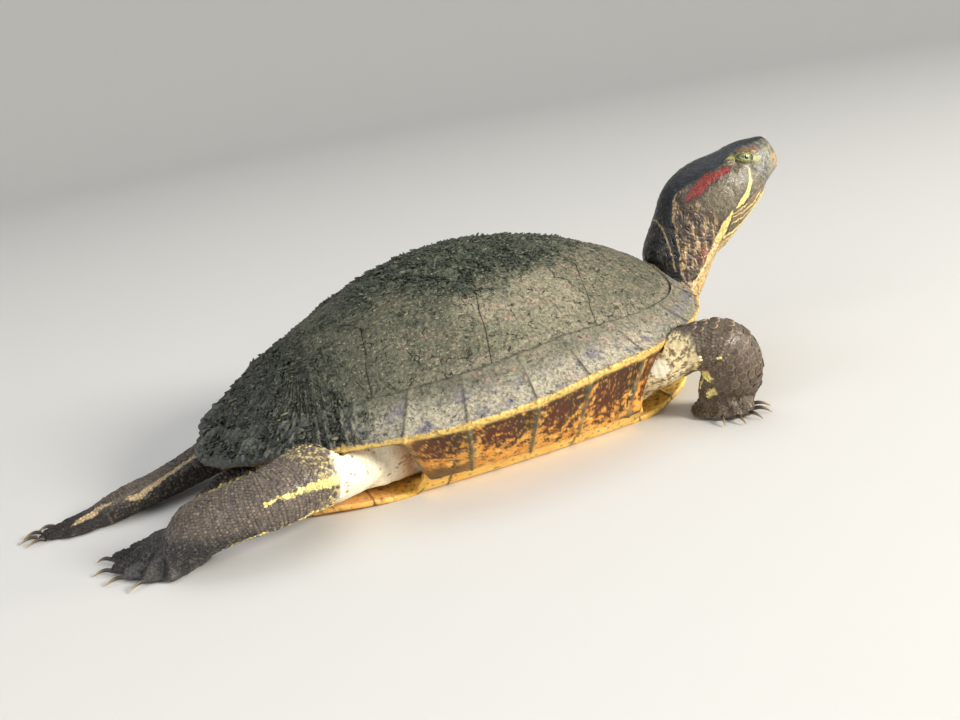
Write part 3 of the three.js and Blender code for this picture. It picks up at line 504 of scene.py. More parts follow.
def plate_piece(name, outline, seed, material):
    """One plate of the carapace: its horn's upper side, and a skirt and a floor below it."""
    along, across = (64, 130) if name.startswith("vertebral") else (116, 100)
    grid = coons(outline, along, across)
    # the edges are drawn in to leave the seam
    moved = grid.copy()
    for last, beside in ((0, 1), (-1, -2)):
        moved[last] += unit(grid[beside] - grid[last]) * SEAM_HALF
        moved[:, last] += unit(grid[:, beside] - grid[:, last]) * SEAM_HALF
    x, y = moved[..., 0], moved[..., 1]
    u = np.linspace(0, 1, along)[:, None]
    v = np.linspace(0, 1, across)[None]
    length = np.linalg.norm(np.diff(grid[:, across // 2], axis=0), axis=1).sum()
    width = np.linalg.norm(np.diff(grid[along // 2], axis=0), axis=1).sum()
    edge = np.minimum(np.minimum(u, 1 - u) * length, np.minimum(v, 1 - v) * width)
    growth_rings = np.sin(edge * 2.1 + 2 * lumps(moved, 30, seed))
    growth_rings *= smooth(22, 5, edge) * smooth(0.8, 2.5, edge)
    relief = -0.32 * bell(edge, 0.8) + 0.35 * smooth(0, 9, edge) - 0.35 + 0.1 * growth_rings
    relief += 0.22 * lumps(moved, 21, seed + 1) + 0.1 * lumps(moved, 6.5, seed + 2)
    top = stack(x, y, dome_point(x, y) + relief).reshape(-1, 3)
    top[:, 2] += rough_growth(top, algae_share(top)) * smooth(0.3, 1.5, edge.ravel())
    index = np.arange(along * across).reshape(along, across)
    rim = np.concatenate([index[:-1, 0], index[-1, :-1], index[:0:-1, -1], index[0, :0:-1]])
    low = top[rim] - [0, 0, HORN]
    points = np.vstack([top, low, low.mean(0)])
    k = index[:-1, :-1].ravel()
    under = index.size + np.arange(len(rim))
    skirt = stack(np.roll(rim, -1), rim, under, np.roll(under, -1))
    fan = stack(np.full(len(rim), index.size + len(rim)), np.roll(under, -1), under)
    quads = np.vstack([stack(k, k + across, k + across + 1, k + 1), skirt])
    if np.cross(top[across] - top[0], top[1] - top[0])[2] < 0:
        quads, fan = quads[:, ::-1], fan[:, ::-1]
    obj = new_object("shell_" + name, points, [quads, fan], material)
    set_field(obj, "colour", carapace_colour(points, np.concatenate([edge.ravel(), np.zeros(len(rim) + 1)])))
    set_field(obj, "growth", algae_share(points))
    return put(obj, "carapace", name)


def rim_profile(a):
    """The CAD section of the turned-in rim at each angle: (section, angle, 3)."""
    rim = rim_height(a)
    at = lambda t, z: stack(*plan(a, t), z + 0 * a)
    reach = np.maximum(0.86, seam_ring(a) + 0.02)
    ux, y = plan(a, reach)
    share = bridge_share(ux)
    uy = mix(y, np.sign(y) * bridge_y(ux), share)
    end = stack(ux, uy, mix(rim - 3, BRIDGE_Z, share))
    under = mix(at(0.94, 0), end, 0.35)
    under[:, 2] = mix(rim - 3, end[:, 2], 0.5) - 1.5 * share
    lid = end + [0, 0, RIM_PLATE]
    inside = at(0.93, np.maximum(dome_height(a, 0.93) - PLATE - 1, rim + 0.9))
    inset = seam_ring(a) + SEAM_HALF / SIDE
    top = at(inset, dome_height(a, inset))
    mid = at(0.93, dome_height(a, 0.93))
    near = at(0.975, dome_height(a, 0.975))
    inner = at(inset, dome_height(a, inset) - PLATE)
    return np.stack([top, mid, near, at(1, rim + 0.2), at(0.992, rim - 2.2), under, end, lid, inside, inner])


def rim_piece(name, start, end, node, material, count, flip):
    """Marginal plates between two rim angles, with the seams between them as grooves."""
    a = np.linspace(start, end, count)
    keys = rim_profile(a)
    # finer along the section, rounded at the rim's edge
    at = np.array([0, 1, 1.6, 2.4, 3.1, 4.6, 7.0, 7.6, 9.0, 9.6])
    fine = np.concatenate([np.linspace(0, 0.25, 3, False), np.linspace(0.25, 7, 67, False),
                           np.linspace(7, 9.6, 9)])
    smoothed = spline(at, keys, fine)
    k = np.clip(np.searchsorted(at, fine, side="right") - 1, 0, len(at) - 2)
    straight = mix(keys[k], keys[k + 1], ((fine - at[k]) / (at[k + 1] - at[k]))[:, None, None])
    blend = (smooth(0, 0.4, fine) * (1 - smooth(6.2, 6.9, fine)))[:, None, None]
    rings = mix(straight, smoothed, blend)
    # relief
    side = np.abs(a)
    near = np.abs(side[:, None] - SEAMS[None]).min(1)
    x, y = plan(a, 1.0)
    pace = np.hypot(np.gradient(x, a), np.gradient(y, a))
    gap = near * pace  # distance from the nearest seam, mm
    normal = np.gradient(rings, axis=0)
    along = np.gradient(rings, axis=1)
    out = unit(np.cross(along, normal)) * (-1 if flip else 1)
    outer = (1 - smooth(6.6, 7.0, fine))[:, None]
    groove = -0.55 * bell(gap, 0.45) - 0.3 * bell(gap, 1.8)
    bulge = 0.25 * smooth(0, 6, gap) - 0.25
    lump = 0.14 * lumps(rings, 9, 5.5) + 0.08 * lumps(rings, 4, 6.5)
    first = -0.5 * bell(fine, 0.12)[:, None]
    upper = smooth(2.9, 2.2, fine)[:, None]
    flat = rings.reshape(-1, 3)
    growth = rough_growth(flat, algae_share(flat)).reshape(rings.shape[:2]) * upper
    rings = rings + out * (outer * (groove + bulge + lump + first) + growth)[..., None]
    # the rear rim is notched at its seams
    notch = smooth(105 * DEG, 130 * DEG, side) * bell(gap, 2.6) * 1.1
    edge_share = bell(fine - 2.6, 0.9)[:, None]
    inward = -stack(np.cos(a), np.sin(a), 0 * a)
    rings = rings + edge_share[..., None] * (notch[:, None] * inward)[None]
    points, *faces = closed(rings.transpose(1, 0, 2))
    obj = new_object(name, points, faces, material)
    lane = np.interp(side, SEAMS, np.arange(len(SEAMS)))
    ends = [0.0, 0.0]  # the middles of the two end caps
    section = np.append(np.tile(fine, len(a)), ends)
    lane, gap = (np.append(np.repeat(v, len(fine)), ends) for v in (lane, gap))
    growth = algae_share(points) * smooth(2.6, 1.6, section)
    set_field(obj, "colour", rim_colour(points, section, lane, gap))
    set_field(obj, "growth", growth)
    set_field(obj, "under", smooth(2.2, 3.1, section))
    return put(obj, "carapace", node)


def bone_core(material):
    """The dark bone under the horny plates, which shows at the bottom of the seams."""
    a = np.linspace(0, 2 * math.pi, 181)[:-1]
    upper = [(0.05, 0.95), (0.3, 0.95), (0.5, 0.95), (0.7, 0.95), (0.82, 1.0), (0.9, 1.6), (0.935, 2.6)]
    lower = [(0.9, 4.4), (0.7, 4.6), (0.4, 4.6), (0.05, 4.6)]
    rings = [stack(*plan(a, t), dome_height(a, t) - down) for t, down in upper + lower]
    points, *faces = closed(rings)
    return put(new_object("shell_bone", points, faces, material), "carapace")


# ---- plastron ----
PLASTRON_SEAMS = [[84, -6], [64, 3], [26, 2], [-33, -2], [-66, 6]]
PLASTRON_ROWS = ["gular", "humeral", "pectoral", "abdominal", "femoral", "anal"]
PLASTRON_END = 112.7


def plastron_colour(p, edge, inner):
    """Yellow horn, orange towards the rear and inside the front lobe, with brown specks and clouds."""
    x, side = p[:, 0], np.abs(p[:, 1])
    mid, small = mottle(p, 12, 31.5), mottle(p, 3.2, 32.5)
    paint = Paint(p, 252, 210, 108)
    paint(0.5 + 0.5 * mid, 246, 190, 78)
    paint(smooth(-30, -80, x) * 0.35, 236, 158, 84)
    half = plastron_half(np.clip(x, -112, 112))
    cloud = np.hypot(((x + 8) % 38 - 19) / 13, (side - half * 0.5) / 13) + 0.3 * mid
    below = 1 - np.clip(inner, 0, 1)
    paint(smooth(1.05, 0.8, cloud) * below * 0.85, 58, 46, 32)
    scoop = inner * smooth(56, 70, x) * smooth(half * 0.96, half * 0.72, side + 2 * mid)
    paint(scoop * 0.5, 255, 178, 78)
    paint(scoop * smooth(0.4, 0.9, mid) * 0.45, 206, 92, 34)
    paint(inner * smooth(-50, -62, x) * 0.5, 232, 178, 120)
    paint(smooth(0.62, 0.8, small) * 0.75, 70, 44, 20)
    paint(bell(edge, 0.6) * 0.7, 84, 58, 30)
    return paint.colour


def plastron_seam(i, y):
    """Where the seam behind row i lies at y; beyond the seams it is the plastron's front or rear edge."""
    if not 0 <= i < len(PLASTRON_SEAMS):
        return np.full(y.shape, PLASTRON_END if i < 0 else -PLASTRON_END)
    x, back = PLASTRON_SEAMS[i]
    return x - back * (1 - smooth(0, 44, np.abs(y))) + 0.5 * np.sin(y / 5.0 + i) * bell(y, 50)


def plastron_piece(row, material):
    """One row of the plastron between its two seams."""
    middle, outer = np.linspace(-0.72, 0.72, 61), np.linspace(0.72, 1, 18)
    u = np.concatenate([-outer[:0:-1], middle, outer[1:]])[None]
    v = np.linspace(0, 1, 46 if row in (0, 1, 5) else 60)[:, None]
    y = u * 50.0 + 0 * v
    for _ in range(8):
        front, rear = plastron_seam(row - 1, y), plastron_seam(row, y)
        x = mix(front - SEAM_HALF, rear + SEAM_HALF, v)
        y = u * np.maximum(plastron_half(np.clip(x, -112.6, 112.6)) - 0.25, 0.6)
    bridge = smooth(BRIDGE_REAR - 0.3, BRIDGE_REAR + 0.3, x)
    bridge = bridge * smooth(BRIDGE_FRONT + 0.3, BRIDGE_FRONT - 0.3, x)
    rise = (BRIDGE_Z - 0.2) * smooth(0.78, 1, np.abs(u)) * bridge
    thick = mix(mix(PLASTRON_PLATE, 2.2, np.abs(u) ** 6), PLASTRON_PLATE, bridge)
    # distance from the nearest seam; the outer ends of the first and last rows have none
    ahead, behind = (np.full_like(v, 1e9) if row == end else share for end, share in ((0, v), (5, 1 - v)))
    edge = np.minimum(ahead, behind) * np.abs(front - rear)
    groove = 0.5 * bell(edge, 0.7) + 0.5 * bell(y, 0.35) + 0.25 * bell(y, 2.0)
    flat = smooth(0.8, 0.5, np.abs(u))
    low = plastron_low(x, y) + rise + np.maximum(0, groove + 0.12 * lumps(stack(x, y), 13, 3.1) * (1 - flat))
    rings = np.concatenate([stack(x, y, low), stack(x, y, low + thick)[:, ::-1]], 1)
    points, *faces = closed(rings)
    obj = new_object("plastron_" + PLASTRON_ROWS[row] + "_horn", points, faces, material)
    edges = np.append(np.concatenate([edge, edge[:, ::-1]], 1), [5.0, 5.0])
    inner = np.append(np.concatenate([0 * x, 0 * x + 1], 1), [0.0, 0.0])
    set_field(obj, "colour", plastron_colour(points, edges, inner))
    return put(obj, "plastron", "plastron_" + PLASTRON_ROWS[row])


# ---- flesh: the same lofts as the solids, finer ----
HEAD_AT = np.array([160.7, -7.6, 100.8])
HEAD_TURN, HEAD_RAISE = 12 * DEG, 20 * DEG
HEAD_LEFT = np.array([math.sin(HEAD_TURN), math.cos(HEAD_TURN), 0])
HEAD_AHEAD = np.array([HEAD_LEFT[1], -HEAD_LEFT[0], 0]) * math.cos(HEAD_RAISE)
HEAD_AHEAD[2] = math.sin(HEAD_RAISE)
HEAD_AXES = np.stack([HEAD_AHEAD, HEAD_LEFT, np.cross(HEAD_AHEAD, HEAD_LEFT)])
EYE_RADIUS, EYE_SIDE, EYE_UP = 4.5, 9.0, -0.4


def in_head(a, left, up):
    a, left, up = np.broadcast_arrays(a, left, up)
    return HEAD_AT + stack(a, left, up) @ HEAD_AXES


def head_frame(p):
    return (p - HEAD_AT) @ HEAD_AXES.T


# (distance ahead of the eyes, value) along the head
HEAD_TOP = [[-58, -13], [-52, -7.4], [-47, -1.6], [-42, 3.6], [-35, 7], [-29, 8.3], [-23, 8.8], [-16.7, 8.4],
            [-9.7, 7.1], [-2.9, 6.4], [2.2, 6.4], [6.7, 5.5], [11.2, 3.9], [15, 2.8], [17.2, 1], [18.5, -3.5]]
HEAD_LOW = [[-58, -40], [-50, -40], [-42, -39.6], [-35, -38.2], [-27, -36.4], [-19, -33.2],
            [-11, -29.6], [-4, -26.8], [2, -24.2], [6, -21.4], [9, -18.6], [12, -17.2], [15, -16.4],
            [17.2, -15.4], [18.5, -12]]
HEAD_WIDE = [[-58, 9], [-50, 12.5], [-42, 15], [-35, 16.5], [-27, 17.6], [-19, 18.2], [-11, 17.4], [-4, 15.6],
             [3, 13.2], [9, 10.6], [14, 8], [17.2, 5.4], [18.5, 2.8]]
HEAD_SQUARE = [[-58, 2], [-42, 2.1], [-27, 2.3], [-11, 2.5], [3, 2.6], [9, 2.5], [14, 2.4], [18.5, 2.2]]

# stations along each limb: place, half width, half height, and for the neck its lower half height,
# for the forelegs the direction of their width
SHOULDER = [([44, 39, 17], 13, 12), ([61, 42, 17.5], 13.5, 12.5), ([78, 44, 21], 11, 11)]
FORELEG = [
    ([56, 42, 24], 13, 12, [0.77, -0.64, 0]), ([72, 60, 27.5], 13, 11, [0.77, -0.64, 0]),
    ([85.5, 74, 35], 12, 10.5, [0.82, -0.57, 0]), ([94, 81, 34], 12, 11, [0.95, -0.2, 0]),
    ([97.5, 81, 25.5], 13, 9.5, [0.96, 0.2, 0]), ([97.5, 76.5, 15], 14, 8, [0.93, 0.37, 0]),
    ([96, 70, 5.2], 12, 5, [0.93, 0.37, 0]),
]
LIMB_TABLES = {
    "neck": [
        ([84, 0, 33], 17, 13, 13), ([104, 0, 35.5], 18.5, 12, 12), ([117, -0.4, 39], 18.5, 14, 11.5),
        ([125, -1, 47], 17.5, 19, 11), ([129, -1.6, 57], 17, 22.5, 13), ([132.5, -2.3, 67], 17, 21, 16.5),
        ([138.6, -3, 78], 16.8, 19, 19.5), ([147, -5, 89], 15, 14, 18),
    ],
    "tail": [
        ([-92, 0, 15], 13, 10), ([-108, 0, 12], 10, 8), ([-120, -1, 8.6], 7, 6.2),
        ([-130, -3, 5.6], 4.6, 4.4), ([-139, -6, 3.2], 2.8, 2.6), ([-146, -9, 1.9], 1.3, 1.3),
    ],
    "shoulder_left": SHOULDER, "shoulder_right": SHOULDER, "foreleg_left": FORELEG, "foreleg_right": FORELEG,
    "hindleg_left": [
        ([-66, 38, 21], 20, 15), ([-87, 46, 17], 16, 12.5), ([-103, 45, 14.5], 14, 10),
        ([-120, 40, 11], 12, 8), ([-140, 33, 8.5], 11.5, 6.5), ([-158, 29, 7], 11, 5.8),
        ([-170, 29.5, 5], 10, 4.4),
    ],
    "hindleg_right": [
        ([-66, -40, 22], 20, 15), ([-82, -55, 24], 17, 14.5), ([-96, -65, 25], 15, 13),
        ([-110, -70, 24], 13.5, 12), ([-127, -66, 21], 13, 11), ([-140, -58, 16], 13.5, 10.5),
        ([-148, -51, 8], 12, 7),
    ],
}
# each foot's toes as (direction in degrees, reach)
FEET = {
    "foreleg_right": dict(at=[96, -67], heel=14, high=15, web=0.82, clawed=5, claw=6.5,
                          toes=[[-118, 17], [-98, 20], [-79, 20.5], [-60, 19.5], [-41, 17]]),
    "foreleg_left": dict(at=[96, 67], heel=14, high=15, web=0.82, clawed=5, claw=6.5,
                         toes=[[112, 17], [92, 20], [73, 20.5], [54, 19.5], [35, 17]]),
    "hindleg_right": dict(at=[-144, -48], heel=10.5, high=16.5, web=0.86, clawed=4, claw=6,
                          toes=[[139, 39], [157, 34], [177, 28], [205, 23], [237, 20]]),
    "hindleg_left": dict(at=[-166, 29.5], heel=9, high=8.5, web=0.88, clawed=4, claw=6,
                         toes=[[160, 28], [169, 33], [178, 34.5], [188, 32], [202, 25]]),
}
COAT = 0.35  # the skin lies this far inside the solids
# heights of a foot's webs and toes at shares of its reach, as shares of its height
FOOT_SHARES = [0.12, 0.3, 0.7, 0.9, 1]
WEB_HEIGHTS, TOE_HEIGHTS = [1, 0.86, 0.3, 0.16, 0.1], [1, 0.93, 0.52, 0.36, 0.2]
SCALE_HEIGHTS = [1, 0.9, 0.42, 0.26, 0.18]
FLOOR_GAP = 0.1  # the lowest skin lies this far above the floor
SKIN_VOXEL = 1.4


def limb_stations(name):
    """Place, half width, half heights above and below, and where the width lies, at each station."""
    table = LIMB_TABLES[name]
    at, wide, high = (np.array([station[i] for station in table], float) for i in range(3))
    extra = np.array([station[-1] for station in table], float)
    low = extra if name == "neck" else high
    hint = extra if name.startswith("foreleg") else np.tile([0.0, 1.0, 0.0], (len(table), 1))
    flip = [1, -1 if name in ("foreleg_right", "shoulder_right") else 1, 1]
    return at * flip, wide, high, low, hint * flip


class Loft:
    """A limb's smooth path with its sections; k runs from 0 at the body to 1 at the end."""

    def __init__(self, name, count=90):
        at, wide, high, low, hint = limb_stations(name)
        step = np.linalg.norm(np.diff(at, axis=0), axis=1)
        keys = np.concatenate([[0], np.cumsum(step)])
        self.length = keys[-1]
        self.k = np.linspace(0, 1, count)
        s = self.k * self.length
        self.at = spline(keys, at, s)
        self.along = unit(np.gradient(self.at, axis=0))
        hint = spline(keys, hint, s)
        self.side = unit(hint - self.along * dot(hint, self.along))
        self.up = np.cross(self.along, self.side)
        self.wide, self.high, self.low = (spline(keys, v, s) - COAT for v in (wide, high, low))
        outer = -1 if self.side[count // 2, 1] * self.at[-1, 1] < 0 else 1
        self.hand = outer, -1 if self.up[0, 2] < 0 else 1

    def rings(self, around=56, power=2 / 2.15):
        t = 2 * math.pi * (np.arange(around) + 0.5) / around
        c, d = np.cos(t), np.sin(t)
        half = np.where(d[None] > 0, self.high[:, None], self.low[:, None])
        x, y = self.wide[:, None] * powered(c, power), half * powered(d, power)
        return self.at[:, None] + x[..., None] * self.side[:, None] + y[..., None] * self.up[:, None]

    def solid(self):
        return closed(self.rings())

    def surface(self, k, turn):
        """Places on the limb at k along it and at this turn round it."""
        k, turn = np.broadcast_arrays(np.asarray(k, float), np.asarray(turn, float))
        i = np.clip(np.rint(k * (len(self.k) - 1)).astype(int), 0, len(self.k) - 1)
        side, up = self.side * self.hand[0], self.up * self.hand[1]
        c, s = np.cos(turn * DEG), np.sin(turn * DEG)
        half = np.where(s > 0, self.high[i], self.low[i])
        return self.at[i] + (self.wide[i] * c)[..., None] * side[i] + (half * s)[..., None] * up[i]

    def nearest(self, p):
        """The share of the way along the limb, the turn round it and the distance from its middle line."""
        i = np.concatenate([np.argmin(((q[:, None] - self.at[None]) ** 2).sum(-1), 1)
                            for q in np.array_split(p, max(1, len(p) // 20000))])
        away = p - self.at[i]
        side, up = self.side * self.hand[0], self.up * self.hand[1]
        turn = np.arctan2(dot(away, up[i]), dot(away, side[i]))[:, 0]
        return self.k[i], turn / DEG, np.linalg.norm(away, axis=1)


def head_solid():
    """The head as one closed solid, finer towards the snout's rounded tip."""
    a = np.concatenate([np.linspace(-57, 14, 74)[:-1], 14 + 4.5 * np.sin(np.linspace(0, math.pi / 2, 16))])
    get = lambda table: spline(*np.array(table).T, a)
    top, low, wide, square = (get(t) for t in (HEAD_TOP, HEAD_LOW, HEAD_WIDE, HEAD_SQUARE))
    t = 2 * math.pi * (np.arange(96) + 0.5) / 96
    c, s = np.cos(t)[None], np.sin(t)[None]
    p = (2 / square)[:, None]
    narrow = 1 - 0.12 * np.maximum(0, s)
    left = (wide - COAT)[:, None] * narrow * powered(c, p)
    up = ((top + low) / 2)[:, None] + ((top - low) / 2 - COAT)[:, None] * powered(s, p)
    return closed(in_head(a[:, None], left, up))


def toe_share(turn, reach, toes, width):
    """How much a place at a direction and distance belongs to the nearest toe, and which toe that is."""
    off = (turn[..., None] - np.array([toe[0] for toe in toes]) + 180) % 360 - 180
    away = np.abs(off) * DEG * reach[..., None]
    return bell(away.min(-1), width), np.argmin(away, -1)


def foot_outline(foot, turn):
    """Reach of the foot in each direction: toes, webs between them, and the heel."""
    toes = sorted(foot["toes"])
    direction, reach = np.array(toes, float).T
    half = np.arange(2 * len(toes) - 1) / 2  # whole numbers are toes, the others the webs between them
    keys = np.interp(half, np.arange(len(toes)), direction)
    values = np.interp(half, np.arange(len(toes)), reach) * np.where(half % 1, foot["web"], 1)
    heel = keys[-1] + (360 - keys[-1] + keys[0]) * np.array([0.14, 0.3, 0.5, 0.7, 0.86])
    values = [*values, *(foot["heel"] * np.array([1.15, 1, 1, 1, 1.15])), values[0]]
    base = np.interp((turn - keys[0]) % 360 + keys[0], [*keys, *heel, keys[0] + 360], values)
    share, near = toe_share(turn, base, toes, 2.6)
    return mix(base * 0.98, reach[near], share ** 2), share


def foot_solid(foot):
    """A foot's toes and webs over the floor."""
    turn = np.arange(0, 360, 1.5)
    reach, _ = foot_outline(foot, turn)
    ring = lambda k, z: stack(foot["at"][0] + k * reach * np.cos(turn * DEG),
                              foot["at"][1] + k * reach * np.sin(turn * DEG), z + 0 * turn)
    rings = []
    for k in [*np.linspace(0.12, 0.94, 22), 0.975, 1.0]:
        share, _ = toe_share(turn, reach * k, sorted(foot["toes"]), 2.3)
        web, toe = (np.interp(k, FOOT_SHARES, table) * foot["high"] for table in (WEB_HEIGHTS, TOE_HEIGHTS))
        toe += 0.5 * bell(k - 0.62, 0.07) + 0.45 * bell(k - 0.84, 0.06)  # knuckles
        z = mix(web, toe, mix(1.0, share, smooth(0.12, 0.5, k))) * (1 - 0.5 * smooth(0.94, 1.0, k))
        rings.append(ring(k, np.maximum(z, 1.0) - COAT))
    return closed(rings + [ring(k, FLOOR_GAP) for k in (1.0, 0.5, 0.1)])


def trunk_solid():
    """The flesh inside the shell."""
    a = 2 * math.pi * (np.arange(180) + 0.5) / 180
    turn = np.abs(np.arctan2(np.sin(a), np.cos(a))) / DEG
    reach = mix(0.76, 0.85, smooth(5, 35, turn)) - 0.03 * smooth(150, 175, turn)
    place = lambda t, z: stack(*plan(a, t), z + 0 * a)

    def side(open_t, inside_t, open_z, inside_z):
        share = bridge_share(plan(a, inside_t)[0] * 1.02)
        return place(mix(open_t, inside_t, share), mix(open_z, inside_z, share)), share

    rim = rim_height(a)
    rings = [place(t, dome_height(a, t) - PLATE - 2) for t in (0.2, 0.4, 0.6, 0.72)]
    rings.append(side(reach, 0.73, rim - 1, 30.0)[0])
    rings.append(side(reach + 0.01, 0.7, mix(rim, 4, 0.4), 16.0)[0])
    for inward, inside, open_y, lift in ((0.03, 0.66, 7, 4), (0.12, 0.58, -3, 0.5)):
        p, share = side(reach - inward, inside, 0.0, 0.0)
        half = plastron_half(np.clip(p[:, 0], -110, 110)) + open_y
        limited = np.sign(p[:, 1]) * np.minimum(np.abs(p[:, 1]), half)
        p[:, 1] = np.where(share < 0.5, limited, p[:, 1])
        p[:, 2] = plastron_low(p[:, 0], p[:, 1]) + PLASTRON_PLATE + lift
        rings.append(p)
    return closed(rings)


LIMBS = {name: Loft(name) for name in LIMB_TABLES}


def remeshed(solids, voxel):
    """One closed surface round overlapping solids: points and triangles."""
    points, *faces = joined(solids)
    source = new_object("flesh_source", points, faces)
    remesh = source.modifiers.new("remesh", "REMESH")
    remesh.mode = "VOXEL"
    remesh.voxel_size = voxel * MM
    graph = bpy.context.evaluated_depsgraph_get()
    mesh = bpy.data.meshes.new_from_object(source.evaluated_get(graph))
    bpy.data.objects.remove(source)
    found = points_of(mesh), triangles_of(mesh)
    bpy.data.meshes.remove(mesh)
    return found


def triangles_of(mesh):
    """The corners of the mesh's triangles, as point numbers."""
    mesh.calc_loop_triangles()
    tris = np.empty(len(mesh.loop_triangles) * 3, dtype=np.int32)
    mesh.loop_triangles.foreach_get("vertices", tris)
    return tris.reshape(-1, 3)


def edges_of(tris):
    edges = np.sort(np.concatenate([tris[:, [0, 1]], tris[:, [1, 2]], tris[:, [2, 0]]]), axis=1)
    return np.unique(edges, axis=0)


def relaxed(points, tris, rounds, weight=0.5):
    """Laplacian smoothing; weight may be one number or one per point."""
    edges = edges_of(tris)
    count = np.bincount(edges.ravel(), minlength=len(points)).astype(float)
    weight = np.broadcast_to(np.asarray(weight, float), len(points))[:, None]
    for _ in range(rounds):
        gathered = lambda near, far, k: np.bincount(edges[:, near], points[edges[:, far], k], len(points))
        total = stack(*(gathered(0, 1, k) + gathered(1, 0, k) for k in range(3)))
        points = points + weight * (total / count[:, None] - points)
    return points


def refined(points, tris, wanted):
    """Every edge of the wanted triangles is halved, and their neighbours are cut to match."""
    ends = np.sort(stack(tris, np.roll(tris, -1, 1)), -1).astype(np.int64)
    key = ends[..., 0] * len(points) + ends[..., 1]
    halved = np.unique(key[wanted])
    slot = np.minimum(np.searchsorted(halved, key), len(halved) - 1)
    cut = halved[slot] == key
    middle = len(points) + slot
    count = cut.sum(1)
    # turned so that the edges to cut come first
    first = np.where(count == 1, np.argmax(cut, 1), np.where(count == 2, (np.argmin(cut, 1) + 1) % 3, 0))
    order = (first[:, None] + np.arange(3)) % 3
    a, b, c = np.take_along_axis(tris, order, 1).T
    m, n, o = np.take_along_axis(middle, order, 1).T
    parts = {0: [(a, b, c)], 1: [(a, m, c), (m, b, c)], 2: [(m, b, n), (m, n, c), (a, m, c)],
             3: [(a, m, o), (m, b, n), (o, n, c), (m, n, o)]}
    made = [stack(*part)[count == k] for k, several in parts.items() for part in several]
    new = (points[halved // len(points)] + points[halved % len(points)]) / 2
    return np.vstack([points, new]), np.vstack(made).astype(np.int32)


def vertex_normals(points, tris):
    a, b, c = (points[tris[:, k]] for k in range(3))
    face = np.cross(b - a, c - a)
    gathered = lambda k: sum(np.bincount(tris[:, j], face[:, k], len(points)) for j in range(3))
    total = stack(*(gathered(k) for k in range(3)))
    return total / np.maximum(np.linalg.norm(total, axis=1, keepdims=True), 1e-12)


def clear_of_shell(p):
    """Points moved down under the carapace and up over the plastron wherever they would enter it."""
    p = p.copy()
    a, t = polar(p[:, 0], p[:, 1])
    rim = rim_height(a)
    reach = np.maximum(0.86, seam_ring(a) + 0.02)
    dome = dome_height(a, np.minimum(t, 1)) - PLATE - 1.2
    under = np.where(t < reach - 0.02, dome, rim - 4.0)
    share = bridge_share(p[:, 0])
    lid = np.where(t < 1.0, mix(under, np.where(t < reach - 0.02, dome, 99), share), 1e3)
    top = dome_height(a, np.minimum(t, 1))
    inside = (t < 1.0) & (p[:, 2] > lid) & (p[:, 2] < top + 12)
    nape = inside & (p[:, 0] > 98) & (np.abs(p[:, 1]) < 24) & (p[:, 2] > top - 1.5)
    p[:, 2] = np.where(nape, np.maximum(p[:, 2], top + 0.5), np.where(inside, lid, p[:, 2]))
    half = plastron_half(np.clip(p[:, 0], -112.4, 112.4))
    over = (np.abs(p[:, 1]) < half + 0.6) & (np.abs(p[:, 0]) < 112.6)
    floor = plastron_low(p[:, 0], p[:, 1]) + PLASTRON_PLATE + 0.25
    p[:, 2] = np.where(over & (p[:, 2] < floor), floor, p[:, 2])
    return p


# ---- the head's features, in the head's own frame (ahead, left, up) ----
EYE_OUT = unit(np.array([0.14, 0.97, 0.12]))
EYE_AHEAD = unit(np.cross(EYE_OUT, [0, 0, 1]))
EYE_TOP = np.cross(EYE_AHEAD, EYE_OUT)
EYE_TILT, LID_LENGTH, LID_HEIGHT = -34 * DEG, 3.9, 1.65  # the opening stays level though the head is raised
EYE_AHEAD, EYE_TOP = (math.cos(EYE_TILT) * EYE_AHEAD + math.sin(EYE_TILT) * EYE_TOP,
                      math.cos(EYE_TILT) * EYE_TOP - math.sin(EYE_TILT) * EYE_AHEAD)
MOUTH_LINE = [[-14, -19.8], [-12.6, -19.3], [-9, -18.2], [-4, -17.5], [6, -17.1], [14, -16.4], [19, -15.9]]
EAR, EAR_RADIUS = np.array([-20.1, -9.6]), 5.4
NOSTRIL, NOSTRIL_RADIUS = np.array([17.8, 2.0, -0.6]), 0.7


def opening(q):
    """Round an eye: how many times its opening places lie from its middle, ahead, up and out of it."""
    d = stack(q[:, 0], np.abs(q[:, 1]), q[:, 2]) - [0, EYE_SIDE, EYE_UP]
    far = np.linalg.norm(d, axis=1)
    way = d / np.maximum(far, 1e-6)[:, None]
    ahead, top, out = (way @ axis * EYE_RADIUS for axis in (EYE_AHEAD, EYE_TOP, EYE_OUT))
    return np.hypot(ahead / LID_LENGTH, top / LID_HEIGHT), ahead, top, np.where(out > 0, far, 99.0), way


def near_path(p, path):
    """Distance of places from a path of (place, half width) rows, as a share of its half width there."""
    best = np.full(len(p), 9.0)
    path = np.array(path, float)
    for start, end in zip(path[:-1], path[1:]):
        way, from_start = end[:-1] - start[:-1], p - start[:-1]
        k = np.clip(from_start @ way / (way @ way), 0, 1)
        far = np.linalg.norm(from_start - k[:, None] * way, axis=1)
        best = np.minimum(best, far / mix(start[-1], end[-1], k))
    return best


def head_mask(p):
    return (p[:, 0] > 106) & (np.abs(p[:, 1]) < 32)


